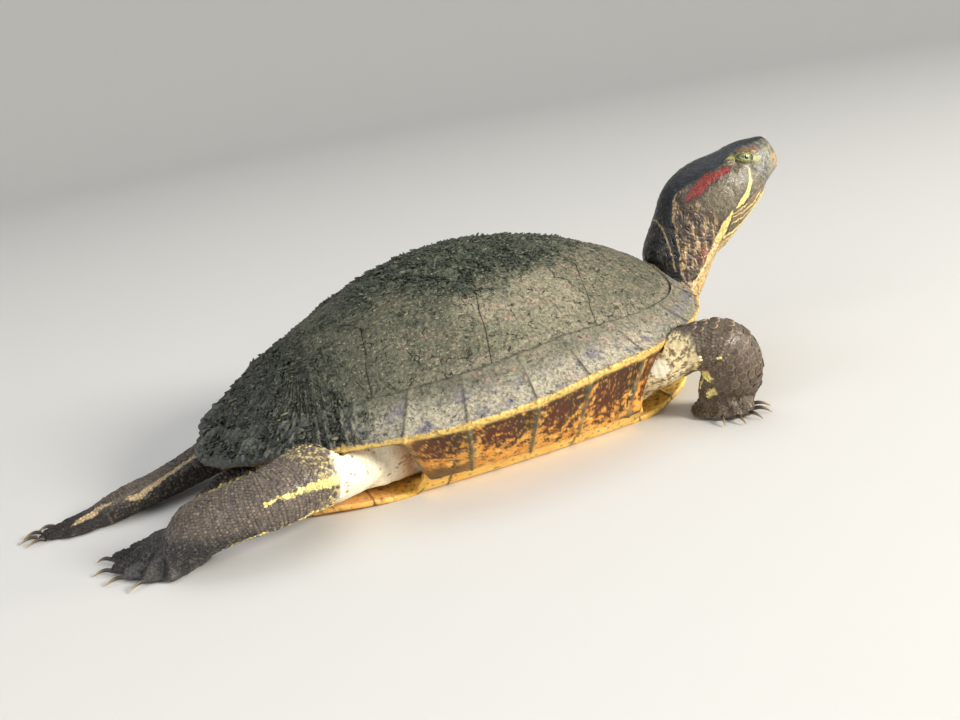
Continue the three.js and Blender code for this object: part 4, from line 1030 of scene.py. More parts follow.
def sculpted_head(p, normals):
    """Lids round the eyes, mouth, nostrils, eardrums and the folds of the neck."""
    q = head_frame(p)
    ahead, side, up = q.T
    wide = np.abs(side)
    mouth = up - line_at(MOUTH_LINE, ahead)
    open_to = smooth(-14.5, -12, ahead)
    beak = smooth(-8, 6, ahead)
    lift = -0.95 * bell(mouth, 0.33) * open_to
    lift += 0.28 * bell(mouth - 1.0, 0.7) * open_to * beak
    lift -= (0.25 + 0.45 * beak) * smooth(0.2, -0.5, mouth) * smooth(-6.5, -2.5, mouth) * open_to
    nostril = np.linalg.norm(stack(ahead, wide, up) - NOSTRIL, axis=1)
    lift -= 1.5 * bell(nostril, NOSTRIL_RADIUS)
    lift += 0.18 * bell(nostril - 1.2, 0.4)
    ear = np.hypot((ahead - EAR[0]) / 1.15, up - EAR[1])
    lift += (-0.18 * bell(ear - EAR_RADIUS, 0.8) + 0.08 * smooth(EAR_RADIUS, 3, ear)) * (wide > 6)
    # creases where the head's skin slides over the neck
    back = smooth(-24, -34, ahead + 0.4 * up + 8) * (0.35 + 0.65 * smooth(6, 13, wide))
    bend = ahead * 0.86 + up * 0.5 + 2.2 * lumps(q, 16, 51.1)
    for pace, seed, depth in ((4.6, 1.0, 0.42), (2.3, 2.2, 0.2)):
        wave = np.abs(np.sin(math.pi * (bend / pace + 0.5 * lumps(q, 9, seed))))
        lift -= depth * back * bell(wave, 0.28)
    cross = np.abs(np.sin(math.pi * (ahead * 0.35 - up * 0.8 + 1.6 * lumps(q, 12, 53.3)) / 2.6))
    lift -= 0.16 * bell(cross, 0.25) * smooth(-8, -22, ahead) * smooth(4, -2, up)
    lift += 0.12 * lumps(q, 5.5, 54.4) * smooth(-10, -30, ahead)
    lift += 0.05 * lumps(q, 2.2, 55.5) * smooth(14, -20, ahead)
    folded = p + normals * lift[:, None]
    # the lids lie on the eyeball, and the skin inside their opening goes in behind it
    q = head_frame(folded)
    share, _, _, far, way = opening(q)
    beads = np.cos(np.arctan2(way @ EYE_TOP / LID_HEIGHT, way @ EYE_AHEAD / LID_LENGTH) * 20)
    scale_ring = 0.16 * np.maximum(0, beads) * bell(share - 1.4, 0.12)
    lid = EYE_RADIUS + 0.3 + 0.34 * bell(share - 1.14, 0.12) + scale_ring
    lid += -0.3 * bell(share - 1.6, 0.1) + 0.2 * bell(share - 1.8, 0.12)
    want = mix(EYE_RADIUS - 1.1, lid, smooth(0.93, 1.03, share))
    spread = np.linalg.norm(np.cross(way, EYE_OUT), axis=1)
    weight = smooth(2.25, 1.62, share) * smooth(1.0, 0.93, spread) * (far < 11)
    moved = mix(far, want, weight)
    moved = np.where(share > 1.03, np.maximum(moved, EYE_RADIUS + 0.3), moved)
    placed = way * moved[:, None] + [0, EYE_SIDE, EYE_UP]
    placed[:, 1] *= np.sign(side)
    return np.where((far < 11)[:, None], HEAD_AT + placed @ HEAD_AXES, folded)


# ---- the skin ----


def skin_base():
    """The skin before its folds: one surface, finer where it shows and finest at the eyes and mouth."""
    solids = [trunk_solid(), head_solid()] + [limb.solid() for limb in LIMBS.values()]
    points, tris = remeshed(solids + [foot_solid(foot) for foot in FEET.values()], SKIN_VOXEL)
    crease = bell(head_frame(points)[:, 0] + 46, 11) * head_mask(points)
    points = relaxed(points, tris, 4)
    points = relaxed(points, tris, 26, 0.6 * crease)
    at = points[tris].mean(1)
    seen = (np.hypot(at[:, 0] / 96, at[:, 1] / 62) > 1) | (at[:, 2] < 34)
    points, tris = refined(points, tris, seen & (np.hypot(at[:, 0] / 80, at[:, 1] / 60) >= 1))
    points = relaxed(points, tris, 2)
    points, tris = refined(points, tris, head_mask(points[tris].mean(1)))
    points = relaxed(points, tris, 2, 0.5 * head_mask(points))
    at = points[tris].mean(1)
    ahead, side, up = head_frame(at).T
    near_eye = (np.hypot(ahead, up - EYE_UP) < 9) & (np.abs(side) > 8)
    mouth = (np.abs(up + 17.6) < 2.2) & (ahead > -15) | (ahead > 15)
    points, tris = refined(points, tris, head_mask(at) & (near_eye | mouth))
    return above_floor(clear_of_shell(points)), tris


def above_floor(points):
    points[:, 2] = np.maximum(points[:, 2], FLOOR_GAP)
    return points


def make_skin(material):
    """The whole skin as one piece; returns its points and normals for the scales."""
    points, tris = skin_base()
    normals = vertex_normals(points, tris)
    head = head_mask(points)
    points[head] = sculpted_head(points[head], normals[head])
    points[~head] += normals[~head] * limb_folds(points[~head])[:, None]
    points = above_floor(points)
    obj = new_object("skin", points, [tris], material)
    set_field(obj, "colour", skin_colour(points))
    set_field(obj, "soft", softness(points))
    flesh = ["trunk", "neck", "head", "lower_jaw", "tail"]
    for tag in ("left", "right"):
        flesh += [part + "_" + tag for part in ("upper_arm", "forearm", "hand", "thigh", "shank", "foot")]
    put(obj, "skin", *flesh)
    return points, vertex_normals(points, tris)


FOLD_PACES = {"hind": 5.2, "fore": 4.4, "tail": 3.0}  # mm between the folds of a limb


def limb_folds(p):
    """Wrinkles round the limbs and in the loose skin beside them."""
    lift = 0.12 * lumps(p, 7, 61.1) + 0.05 * lumps(p, 3, 62.2)
    for limb in ("hindleg_left", "hindleg_right", "foreleg_left", "foreleg_right", "tail"):
        loft, pace = LIMBS[limb], FOLD_PACES[limb[:4]]
        k, turn, away = loft.nearest(p)
        on = (away < 22) * smooth(0.04, 0.2, k)
        step = k * loft.length / pace + 0.55 * lumps(p, 12, 63.3) + 0.2 * np.sin(turn * DEG)
        wave = np.abs(np.sin(math.pi * step))
        lift -= on * (0.2 + 0.16 * lumps(p, 14, 64.4)) * bell(wave, 0.22)
    return lift


def softness(p):
    """1 on loose pale skin, 0 on horny scaly skin."""
    x, side = p[:, 0], np.abs(p[:, 1])
    pocket = smooth(-90, -82, x) * smooth(-30, -44, x)
    armpit = smooth(82, 74, x) * smooth(36, 46, x)
    return np.clip(np.maximum(pocket, armpit) * (side > 20), 0, 1)


EYE_STRIPE = [[-0.8, -5.4, 0.45], [-4, -11.6, 0.95], [-8.6, -15.4, 1.5], [-12.6, -17.0, 1.3],
              [-16, -17.8, 0.4]]
THROAT_STRIPE = [[-18.5, -18.2, 0.4], [-22, -20.6, 1.2], [-25.4, -23.3, 2.0], [-28.7, -26.5, 2.3],
                 [-35.3, -30.9, 1.7], [-43.1, -35.6, 0.9], [-50.9, -38.8, 0.8], [-62, -46, 0.8]]
JAW_STRIPE = [[9, -16.9, 0.5], [7.5, -17.6, 0.6], [2.5, -20.8, 0.7], [-7.6, -25.3, 0.8], [-15.5, -27.8, 0.8],
              [-21.7, -28.6, 0.9], [-27, -28.4, 0.8]]
CHIN_LINES = [[[-0.6, -18.9, 0.25], [-5.8, -21.6, 0.32], [-13.7, -22.0, 0.3], [-20, -21.2, 0.2]],
              [[0, -20.4, 0.2], [-6, -23.4, 0.3], [-13, -24.4, 0.32], [-21, -24, 0.25]],
              [[-10, -19.4, 0.2], [-15, -20, 0.28], [-20, -19.6, 0.2]]]
NECK_LINES = [[[-37, 1.5, 0.3], [-39.9, -0.9, 0.4], [-45.4, -8.4, 0.5], [-48.2, -15.6, 0.5],
               [-54, -29.7, 0.5], [-60, -44, 0.5]],
              [[-50.4, -6, 0.25], [-51.2, -9.8, 0.4], [-53.4, -17.1, 0.45], [-56.6, -29, 0.4]]]
RED_PATCH = [[-7.2, -0.3, 0.4], [-12.5, 0.1, 1.4], [-21, 1.0, 2.2], [-27.6, -0.9, 2.5], [-32.6, -2.0, 1.5],
             [-35, -2.8, 0.6]]
CROWN_LINE = [[-60, -45], [-54, -30.5], [-48.2, -16.4], [-45.4, -9], [-43.1, -4.6], [-38.1, 0.1],
              [-34.5, 2.4], [-28.7, 2.6], [-20, 3.2], [-10.8, 2.6], [-4, 4.2], [3, 4.2], [8, 2.6],
              [13, 1.6], [19, 0.4]]
YELLOW, CREAM = (222, 204, 128), (226, 208, 160)


def head_colour(p):
    """Markings of the head and neck."""
    q = head_frame(p)
    ahead, side, up = q.T
    small, mid, fine = mottle(q, 2.4, 71.1), mottle(q, 6, 72.2), mottle(q, 1.3, 73.3)
    shaken = stack(ahead + 0.35 * small, up + 0.35 * mottle(q, 3.1, 74.4))
    paint = Paint(p, 108, 99, 77)
    paint(0.5 + 0.5 * mid, 84, 75, 59)
    # the neck's side: brown with pale and dark streaks along it
    streak = mottle(p * [1, 1, 0.24], 3.4, 75.5)
    neck = smooth(-22, -32, ahead + 0.3 * (up + 20))
    paint(neck * 0.9, 88, 68, 48)
    paint(neck * smooth(0.3, 0.55, streak) * 0.9, 178, 152, 112)
    paint(neck * smooth(-0.1, -0.45, streak) * 0.85, 36, 27, 22)
    # cheek and eardrum
    ear = np.hypot((ahead - EAR[0]) / 1.15, up - EAR[1])
    paint(smooth(EAR_RADIUS + 0.8, EAR_RADIUS - 0.6, ear) * 0.35, 128, 118, 94)
    lines = np.abs(mottle(q * [0.55, 1, 1.3], 3.6, 79.9))
    paint(smooth(0.1, 0.03, lines) * smooth(-34, -22, ahead) * 0.6, 52, 46, 40)
    paint(smooth(0.35, 0.7, small) * smooth(-28, -12, ahead) * 0.4, 160, 148, 116)
    # snout and beak
    snout = smooth(0.5, 6, ahead + 0.5 * mid)
    paint(snout * 0.85, 78, 80, 80)
    horn = smooth(7.5, 10.5, ahead - 0.25 * (up + 10) + 0.8 * small) * smooth(1.2, -2.5, up)
    paint(horn * 0.92, 136, 132, 112)
    paint(horn * smooth(11.5, 15, ahead + 0.1 * (up + 8)) * smooth(-5, -9, up) * 0.45, 208, 158, 112)
    paint(horn * smooth(0.15, 0.5, mottle(q * [1.4, 1, 0.5], 2.6, 78.8)) * 0.7, 66, 60, 56)
    bars = np.abs(np.sin(math.pi * (ahead + 0.55 * up + 0.8 * small) / 2.9))
    paint(snout * (1 - horn) * smooth(0.45, 0.15, bars) * 0.55, 176, 164, 132)
    # jaw and throat
    mouth = up - line_at(MOUTH_LINE, ahead)
    jaw = smooth(0, -0.8, mouth) * smooth(-22, -14, ahead)
    paint(jaw * 0.85, 132, 106, 82)
    paint(jaw * smooth(0.1, 0.5, fine) * 0.5, 70, 54, 42)
    low = line_at(JAW_STRIPE, ahead)
    under = smooth(0.5, -1.5, up - low + 0.4 * small) * smooth(-30, -22, ahead)
    paint(under, 206, 182, 122)
    lines = np.abs(np.sin(math.pi * (side + 0.8 * small) / 4.2))
    paint(under * smooth(0.35, 0.12, lines) * 0.8, 84, 66, 46)
    behind = line_at(THROAT_STRIPE, ahead)
    throat = smooth(0.5, -2, up - behind + 0.8 * small) * smooth(-24, -30, ahead)
    paint(throat * 0.8, 212, 182, 116)
    paint(throat * smooth(0.15, 0.5, streak) * 0.6, 150, 110, 74)
    blush = np.hypot(ahead + 39.8, up + 29.4) + 2.2 * small
    paint(smooth(4.2, 1.2, blush) * 0.4, 170, 92, 70)
    # stripes
    worn = smooth(-24, -36, ahead)
    for line in (EYE_STRIPE, THROAT_STRIPE, JAW_STRIPE, *CHIN_LINES):
        near = near_path(shaken, line) + worn * (0.5 * mid + 0.4 * small)
        paint(bell(near - 1.25, 0.35) * (0.7 - 0.45 * worn), 54, 44, 36)
        paint(smooth(1.1, 0.8, near) * (1 - 0.25 * worn), *YELLOW)
        paint(smooth(1.1, 0.8, near) * worn * 0.6, 210, 180, 138)
    crown = up - line_at(CROWN_LINE, ahead)
    crown_share = smooth(-0.8, 0.8, crown + 0.5 * small)
    paint(crown_share * 0.98, 14, 22, 29)
    # painted sheen: lighter blue-grey patches on the crown
    paint(crown_share * smooth(0.3, 0.8, mid) * smooth(-44, -30, ahead) * 0.4, 44, 56, 66)
    paint(crown_share * smooth(-38, -46, ahead) * 0.9, 8, 10, 12)
    rear = smooth(-46, -53, ahead)
    paint(crown_share * rear * smooth(0.35, 0.65, streak) * 0.35, 120, 106, 80)
    for line in NECK_LINES:
        near = near_path(shaken, line)
        paint(smooth(1.2, 0.7, near) * smooth(-0.25, 0.35, small + 0.3) * 0.7, 186, 162, 122)
    red = near_path(stack(shaken[:, 0], up + 0.5 * mottle(q, 4, 76.6)), RED_PATCH)
    gap = bell(ahead + 14.6 + 0.25 * up, 0.45) * smooth(-0.6, 0.6, up)
    paint(bell(red - 1.2, 0.25) * 0.75, 34, 32, 34)
    paint(smooth(1.08, 0.88, red) * (1 - 0.9 * gap), 118, 36, 30)
    paint(smooth(0.9, 0.2, red) * smooth(0.0, 0.6, fine) * 0.5, 170, 82, 68)
    # lids
    share, forward, top, far, _ = opening(q)
    near_eye = far < 9
    paint(near_eye * smooth(2.6, 2.0, share) * smooth(0.2, 2.2, top) * 0.75, 128, 84, 50)
    lid = near_eye * smooth(1.8, 1.55, share + 0.15 * small)
    paint(lid * 0.9, 74, 66, 44)
    ring = near_eye * bell(share - 1.14, 0.08)
    paint(ring * 0.85, 158, 160, 88)
    dots = np.maximum(0, np.cos(np.arctan2(top / LID_HEIGHT, forward / LID_LENGTH) * 20))
    paint(near_eye * bell(share - 1.4, 0.12) * dots * 0.75, 184, 170, 104)
    paint(near_eye * smooth(1.06, 0.98, share), 20, 20, 16)
    return paint.colour


# stripes of the legs as (share of the way along, turn round from the outer side, half width in mm)
HINDLEG_STRIPES = [
    [(0.26, 62, 1.3), (0.28, 40, 1.5), (0.29, 22, 0.8)],
    [(0.24, -6, 1.4), (0.30, -2, 1.7), (0.36, 4, 1.9), (0.43, 9, 1.5), (0.50, 14, 1.1), (0.57, 19, 0.5)],
    [(0.30, -60, 1.0), (0.45, -50, 1.2), (0.62, -48, 1.0), (0.78, -50, 0.6)],
    [(0.36, 150, 0.7), (0.6, 150, 0.9), (0.85, 158, 0.8)],
]
# the pale trailing edge of the far hind leg, as (x, y, z, half width); below these heights the leg is painted
# dark as shade
HINDLEG_EDGE = np.array([[-96, 40, 23, 1.0], [-110, 37, 19.6, 1.0], [-124.4, 32.3, 17, 1.0],
                         [-140.6, 25.2, 13.4, 1.2], [-152, 20.2, 10.1, 1.4], [-171.4, 25.6, 7.2, 1.7],
                         [-190, 24, 5, 1.3]])
FORELEG_STRIPES = [
    [(0.62, 8, 0.5), (0.76, 6, 0.6), (0.92, 4, 0.7)],
    [(0.4, 170, 1.2), (0.6, 172, 1.0), (0.8, 176, 0.8)],
]
# pale patches beside the foreleg, of the right side: middle and half sizes
FORELEG_PATCHES = [
    ([66.2, -71.3, 29.0], [3.6, 5, 4.4], (252, 244, 214)), ([73.4, -76.2, 38.6], [4.8, 4, 1.6], CREAM),
    ([78.3, -81.0, 32.2], [2.7, 3, 2.6], CREAM), ([79.2, -79.0, 28.4], [1.3, 3, 3.2], YELLOW),
    ([85.1, -77.7, 21.4], [1.9, 4, 2.3], YELLOW), ([87.0, -77.7, 12.4], [1.8, 4, 3.4], YELLOW),
]


def limb_colour(p):
    """Markings of the legs, the tail and the loose skin beside them."""
    x, y, z = p.T
    side = np.abs(y)
    small, mid, wide = mottle(p, 2.6, 81.1), mottle(p, 7, 82.2), mottle(p, 18, 83.3)
    paint = Paint(p, 82, 73, 67)
    paint(0.5 + 0.5 * mid, 106, 95, 84)
    paint(smooth(0.3, 0.7, small) * 0.35, 132, 118, 100)
    for name, foot in FEET.items():
        away = np.hypot(x - foot["at"][0], y - foot["at"][1])
        turn = np.arctan2(y - foot["at"][1], x - foot["at"][0]) / DEG
        on = smooth(foot["high"] + 4, foot["high"] - 3, z) * smooth(44, 38, away)
        share, _ = toe_share(turn, away, sorted(foot["toes"]), 2.6)
        paint(on * (0.75 if name.startswith("hind") else 0.35), 56, 56, 60)
        paint(on * (1 - share) * smooth(8, 14, away) * 0.55, 26, 25, 27)
    fore = smooth(30, 60, x)
    paint(fore * 0.6, 96, 80, 62)
    swirl = mottle(p * [1, 1, 0.6], 4.6, 84.4)
    # legs
    for name, stripes in (("hindleg_left", HINDLEG_STRIPES), ("hindleg_right", HINDLEG_STRIPES),
                          ("foreleg_left", FORELEG_STRIPES), ("foreleg_right", FORELEG_STRIPES)):
        loft = LIMBS[name]
        on = np.linalg.norm(p - loft.at.mean(0), axis=1) < loft.length * 0.9
        if name.startswith("hind"):
            k, turn, away = loft.nearest(p[on])
            mark = smooth(0.46, 0.36, k) * smooth(0.1, 0.2, k) * (away < 22)
            lines = np.abs(mottle(p[on] * [0.8, 1, 1], 6.5, 85.5))
            paint(mark * smooth(0.3, 0.15, lines) * 0.85, 214, 194, 132, on)
            below = smooth(-58, -84, turn) * smooth(0.1, 0.2, k) * (away < 20)
            paint(below * 0.3, 120, 106, 84, on)
            if name.endswith("left"):
                # the far hind leg alone: painted shade below its pale edge line, and dark blotches that are
                # partly its dark cracks and partly painted shade
                near = near_path(p[on], HINDLEG_EDGE)
                low = np.interp(-p[on, 0], -HINDLEG_EDGE[:, 0], HINDLEG_EDGE[:, 2])
                paint(smooth(1.5, -1.0, p[on, 2] - low) * 0.85, 30, 25, 22, on)
                paint(smooth(0.1, 0.5, mid[on]) * 0.6, 42, 35, 31, on)
                paint(smooth(1.3, 0.8, near + 0.3 * small[on]), 184, 160, 124, on)
        for stripe in stripes if name != "hindleg_left" else stripes[:1]:
            k, turn, half = np.array(stripe).T
            path = np.column_stack([loft.surface(k, turn), half])
            best = near_path(p[on] + 0.7 * stack(small, mid, small)[on], path)
            paint(bell(best - 1.4, 0.35) * 0.5, 48, 42, 38, on)
            paint(smooth(1.3, 0.9, best), *YELLOW, on)
    # tail
    tail = smooth(-96, -104, x) * (side < 15)
    stripes = np.abs(np.abs(np.arctan2(y + 0.05 * (x + 100), np.maximum(z - 5, 0.1))) - 0.9)
    paint(tail * smooth(0.24, 0.1, stripes + 0.1 * small) * 0.8, *YELLOW)
    # the pale skin of the pockets
    pocket = smooth(-86.5, -82.5, x + 1.6 * mid) * smooth(-20, -44, x) * (side > 20)
    paint(pocket, 252, 243, 216)
    paint(pocket * smooth(0.1, 0.7, wide) * 0.35, 242, 212, 178)
    marks = mottle(p * [0.42, 1, 1.3], 5.5, 86.6)
    paint(pocket * smooth(0.72, 0.82, marks) * 0.8, 112, 76, 56)
    # painted shade: pinkish brown high in the pockets, under the carapace's rim
    painted_rim_shade = smooth(29, 35, z + 0.15 * (x + 60))
    paint(pocket * painted_rim_shade * 0.6, 196, 140, 116)
    fold = bell(x + 45 + 0.2 * z, 4.5) * (side > 20)
    paint(fold * 0.7, 214, 150, 100)
    armpit = smooth(79, 76, x + 1.5 * mid) * smooth(36, 46, x) * (side > 20)
    flow = (z - 0.85 * (x - 60)) / 5.6 + 0.3 * swirl + 0.5 * mid
    lines = np.abs(np.sin(math.pi * flow))
    paint(armpit, 240, 222, 172)
    paint(armpit * smooth(0.55, 0.42, lines) * 0.9, 84, 62, 46)
    paint(armpit * smooth(0.24, 0.12, lines) * 0.75, 176, 140, 100)
    mirrored = stack(x, -side, z)
    for middle, half, tint in FORELEG_PATCHES:
        far = np.linalg.norm((mirrored - middle) / half, axis=1) + 0.22 * small + 0.15 * mid
        far = np.where(side > 40, far, 9)
        paint(bell(far - 1.22, 0.16) * 0.5, 84, 64, 48)
        paint(smooth(1.08, 0.96, far), *tint)
    return paint.colour


def skin_colour(p):
    """The head's markings and the limbs', each where it belongs."""
    colour = np.empty((len(p), 3))
    head = head_mask(p)
    colour[head] = head_colour(p[head])
    colour[~head] = limb_colour(p[~head])
    return colour


# ---- eyes and claws ----


def eye_piece(tag, sign, material):
    """The eyeball: green-yellow iris, dark pupil and the dark bar through it."""
    turn, angle = np.linspace(0, 2 * math.pi, 97)[:-1], np.linspace(1.5, 178.5, 90)[:, None] * DEG
    way = stack(np.cos(turn) * np.sin(angle), np.sin(turn) * np.sin(angle), np.cos(angle) + 0 * turn)
    rings = way * (EYE_RADIUS * (1 + 0.03 * bell(angle, 0.5)))[..., None]
    axes = np.stack([EYE_AHEAD, EYE_TOP, EYE_OUT]) * [1, sign, 1]
    points, *faces = closed((rings @ axes + [0, sign * EYE_SIDE, EYE_UP]) @ HEAD_AXES + HEAD_AT)
    obj = new_object("eyeball_" + tag, points, faces, material)
    u, v, w = closed(rings)[0].T
    far = np.hypot(u, v)
    spokes = np.sin(np.arctan2(v, u) * 31 + 2 * np.sin(np.arctan2(v, u) * 7))
    paint = Paint(points, 112, 136, 62)
    paint(0.35 + 0.35 * spokes, 158, 172, 92)
    paint(smooth(2.5, 3.1, far), 62, 70, 34)
    paint(smooth(0.62, 0.4, np.abs(v + 0.06 * u)) * smooth(3.4, 2.6, np.abs(u)), 14, 14, 10)
    paint(smooth(1.25, 1.05, far), 8, 8, 7)
    paint(bell(far - 1.4, 0.12) * 0.6, 214, 210, 120)
    set_field(obj, "colour", np.where((w > 0)[:, None], paint.colour, tone(20, 20, 16)))
    return put(obj, "eye", "eye_" + tag)


def claw_piece(name, number, foot, material):
    """A slim curved claw that grows out of a toe and comes down to the floor."""
    turn, reach = foot["toes"][number - 1]
    out = np.array([math.cos(turn * DEG), math.sin(turn * DEG), 0])
    across = np.array([-out[1], out[0], 0])
    k = np.linspace(0, 1, 16)
    ahead = reach - 2.4 + k * (foot["claw"] + 2.2)
    rise = spline([0, 0.35, 0.7, 1], [1.9, 2.5, 1.9, 0.55], k)
    size = 0.85 * (1 - k ** 1.7) ** 0.75 + 0.08
    around = np.linspace(0, 2 * math.pi, 17)[:-1]
    middle = np.array([*foot["at"], 0]) + ahead[:, None] * out + rise[:, None] * [0, 0, 1]
    ring = (np.cos(around)[None, :, None] * across * size[:, None, None] * 0.78
            + np.sin(around)[None, :, None] * np.array([0, 0, 1.0]) * size[:, None, None] * 1.05)
    points = middle[:, None] + ring
    points[..., 2] = np.maximum(points[..., 2], 0.06)
    points, *faces = closed(points)
    obj = new_object("horn_" + name, points, faces, material)
    along = np.concatenate([np.repeat(k, len(around)), [0, 1]])
    paint = Paint(along, 62, 52, 42)
    paint(smooth(0.3, 0.95, along), 164, 144, 108)
    paint(smooth(0.3, 0.1, along) * 0.5, 62, 50, 40)
    set_field(obj, "colour", paint.colour)
    return put(obj, "claw", name)


# ---- scales and growth: closed pieces set on the skin and on the shell ----
PEBBLE = closed([[[r * math.cos(t), r * math.sin(t), z] for t in np.arange(6) * math.pi / 3 + 0.3]
                 for r, z in ((0.9, -0.5), (1.0, 0.25), (0.62, 0.85))])
PLATELET = closed([[[r * math.cos(t), r * math.sin(t) * (1 - 0.12 * math.cos(t)),
                     z * (1 + 0.45 * math.cos(t))] for t in np.arange(12) * math.pi / 6]
                   for r, z in ((0.92, -0.4), (1.02, 0.3), (0.94, 0.7), (0.6, 0.95))])
FLAKE = closed([[[x, w * math.cos(t), 0.85 * x + h * math.sin(t)] for t in np.arange(4) * math.pi / 2]
                for x, w, h in ((-0.9, 0.25, 0.3), (-0.1, 1.0, 0.7), (0.6, 0.55, 0.5), (1.0, 0.08, 0.12))])


def scattered(name, slot, shape, root, normal, along, size, colour, uv, material):
    """One piece of many like solids; size is (half length, half width, height) in mm for each."""
    points, *faces = shape
    # each piece's colour is lightened towards its top and darkened below, as painted light and shade; the
    # platelets also get a painted highlight along their upper outer edge and painted shade underneath
    if shape is PLATELET:
        edge = smooth(0.75, 1.0, np.hypot(points[:, 0], points[:, 1]))
        painted_light = 0.72 + edge * np.where(points[:, 2] > 0.1, 0.5 + 1.9 * smooth(-0.1, 0.9, points[:, 0]), -0.4)
    else:
        painted_light = np.clip(0.72 + 0.5 * points[:, 2], 0.5, 1.22)
    along = unit(along - normal * dot(along, normal))
    axes = np.stack([along, np.cross(normal, along), normal], 1)
    verts = root[:, None] + np.einsum("mk,nk,nkc->nmc", points, size, axes)
    step = len(points) * np.arange(len(root))[:, None, None]
    faces = [(group[None] + step).reshape(-1, group.shape[1]) for group in faces]
    obj = new_object(name, verts.reshape(-1, 3), faces, material)
    set_field(obj, "colour", (colour[:, None] * painted_light[None, :, None]).reshape(-1, 3))
    # the bake map: a small patch for each solid, at its root's place
    layer = obj.data.uv_layers.new(name="OFBake")
    corner = np.empty(len(obj.data.loops), dtype=np.int32)
    obj.data.loops.foreach_get("vertex_index", corner)
    spot = (uv[:, None] + 0.0015 * points[None, :, :2]).reshape(-1, 2)
    layer.data.foreach_set("uv", spot[corner].astype(np.float32).ravel())
    return put(obj, slot)


class Ground:
    """The finished skin without the head, to set scales on."""

    def __init__(self, points, normals):
        kept = ~head_mask(points)
        self.points, self.normals = points[kept], normals[kept]
        self.tree = tree_of(self.points)

    def seat(self, at, limit):
        """Places moved onto the skin, its normals there, and which of them have skin near enough."""
        found = np.array([self.tree.find(p)[1:] for p in at])
        i = found[:, 0].astype(int)
        normal = self.normals[i]
        root = at - normal * dot(at - self.points[i], normal)
        a, t = polar(root[:, 0], root[:, 1])
        covered = (t < 0.97) & (root[:, 2] > rim_height(a) - 4)
        return root, normal, (found[:, 1] < limit) & (softness(root) < 0.4) & ~covered


def limb_lattice(loft, pace, across, first, last, low, high, rng):
    """Staggered rows of places along a limb and round it between two turns."""
    rows = int(loft.length * (last - first) / pace)
    girth = math.pi * (loft.wide + loft.high).mean() * (high - low) / 360
    count = max(1, int(girth / across))
    j, i = np.meshgrid(np.arange(rows), np.arange(count), indexing="ij")
    k = first + (last - first) * (j + 0.5 + 0.12 * rng.normal(size=j.shape)) / rows
    turn = low + (high - low) * (i + 0.25 + 0.5 * (j % 2) + 0.1 * rng.normal(size=j.shape)) / count
    return np.clip(k.ravel(), 0, 1), turn.ravel()


def limb_scales(ground, name, lattice, size, tip, rng):
    """Scales on one limb at a lattice's places; tip is the share of paler ones."""
    loft = LIMBS[name]
    k, turn = lattice
    root, normal, kept = ground.seat(loft.surface(k, turn), 3.2)
    i = np.rint(k * (len(loft.k) - 1)).astype(int)
    girth = (loft.wide + loft.high)[i] / (loft.wide + loft.high).mean()
    root, normal, along, k, turn, girth = (v[kept] for v in (root, normal, loft.along[i], k, turn, girth))
    each = np.array(size) * rng.uniform(0.85, 1.12, (len(root), 3))
    each[:, 1] *= girth
    pale = rng.random(len(root)) < tip
    colour = limb_colour(root)
    colour = painted(colour * rng.uniform(0.78, 1.24, (len(root), 1)), pale * 0.14, tone(186, 168, 140))
    return root, normal, along, each, colour, stack(k, turn / 360 % 1)


def foot_scales(ground, foot, taken, rng):
    """Small scales on the top of a foot, in rows that run out along the toes."""
    pace = 1.75
    x, y = np.meshgrid(np.arange(-46, 46, pace), np.arange(-46, 46, pace * 0.87))
    x = x + 0.5 * pace * (np.arange(x.shape[0]) % 2)[:, None]
    x, y = x.ravel(), y.ravel()
    far, turn = np.hypot(x, y), np.arctan2(y, x) / DEG
    reach, _ = foot_outline(foot, turn)
    inside = far < 0.96 * reach
    x, y, far, reach = (v[inside] for v in (x, y, far, reach))
    x, y = x + rng.normal(0, 0.12, len(x)), y + rng.normal(0, 0.12, len(x))
    z = foot["high"] * np.interp(far / reach, FOOT_SHARES, SCALE_HEIGHTS)
    at = stack(foot["at"][0] + x, foot["at"][1] + y, z)
    root, normal, kept = ground.seat(at, 3.0)
    kept &= (normal[:, 2] > 0.12) & (root[:, 2] > 1.2)
    tree = tree_of(taken)
    kept &= np.array([tree.find(p)[2] > 1.35 for p in root])
    root, normal, x, y, share = root[kept], normal[kept], x[kept], y[kept], (far / reach)[kept]
    size = np.array([1.0, 0.82, 0.34]) * (1.12 - 0.35 * share)[:, None]
    size = size * rng.uniform(0.85, 1.1, (len(root), 3))
    colour = limb_colour(root) * rng.uniform(0.8, 1.22, (len(root), 1))
    return root, normal, stack(x, y, 0 * x), size, colour, stack(x, y) / 100 + 0.5


# scales of each kind of limb: shape, the lattice's (pace along, pace across, first, last, low turn,
# high turn), half sizes, and the share of paler ones
SCALE_SETS = {
    "hind": [(PEBBLE, (1.62, 1.5, 0.16, 0.97, -180, 180), [0.86, 0.74, 0.36], 0.3)],
    "tail": [(PEBBLE, (1.9, 1.7, 0.2, 0.97, -180, 180), [1.0, 0.85, 0.34], 0.15)],
    "fore": [(PEBBLE, (1.6, 1.5, 0.3, 0.96, -180, 46), [0.92, 0.78, 0.36], 0.25),
             (PLATELET, (3.3, 3.1, 0.3, 0.97, 52, 180), [2.25, 2.05, 0.34], 0.0)],
}


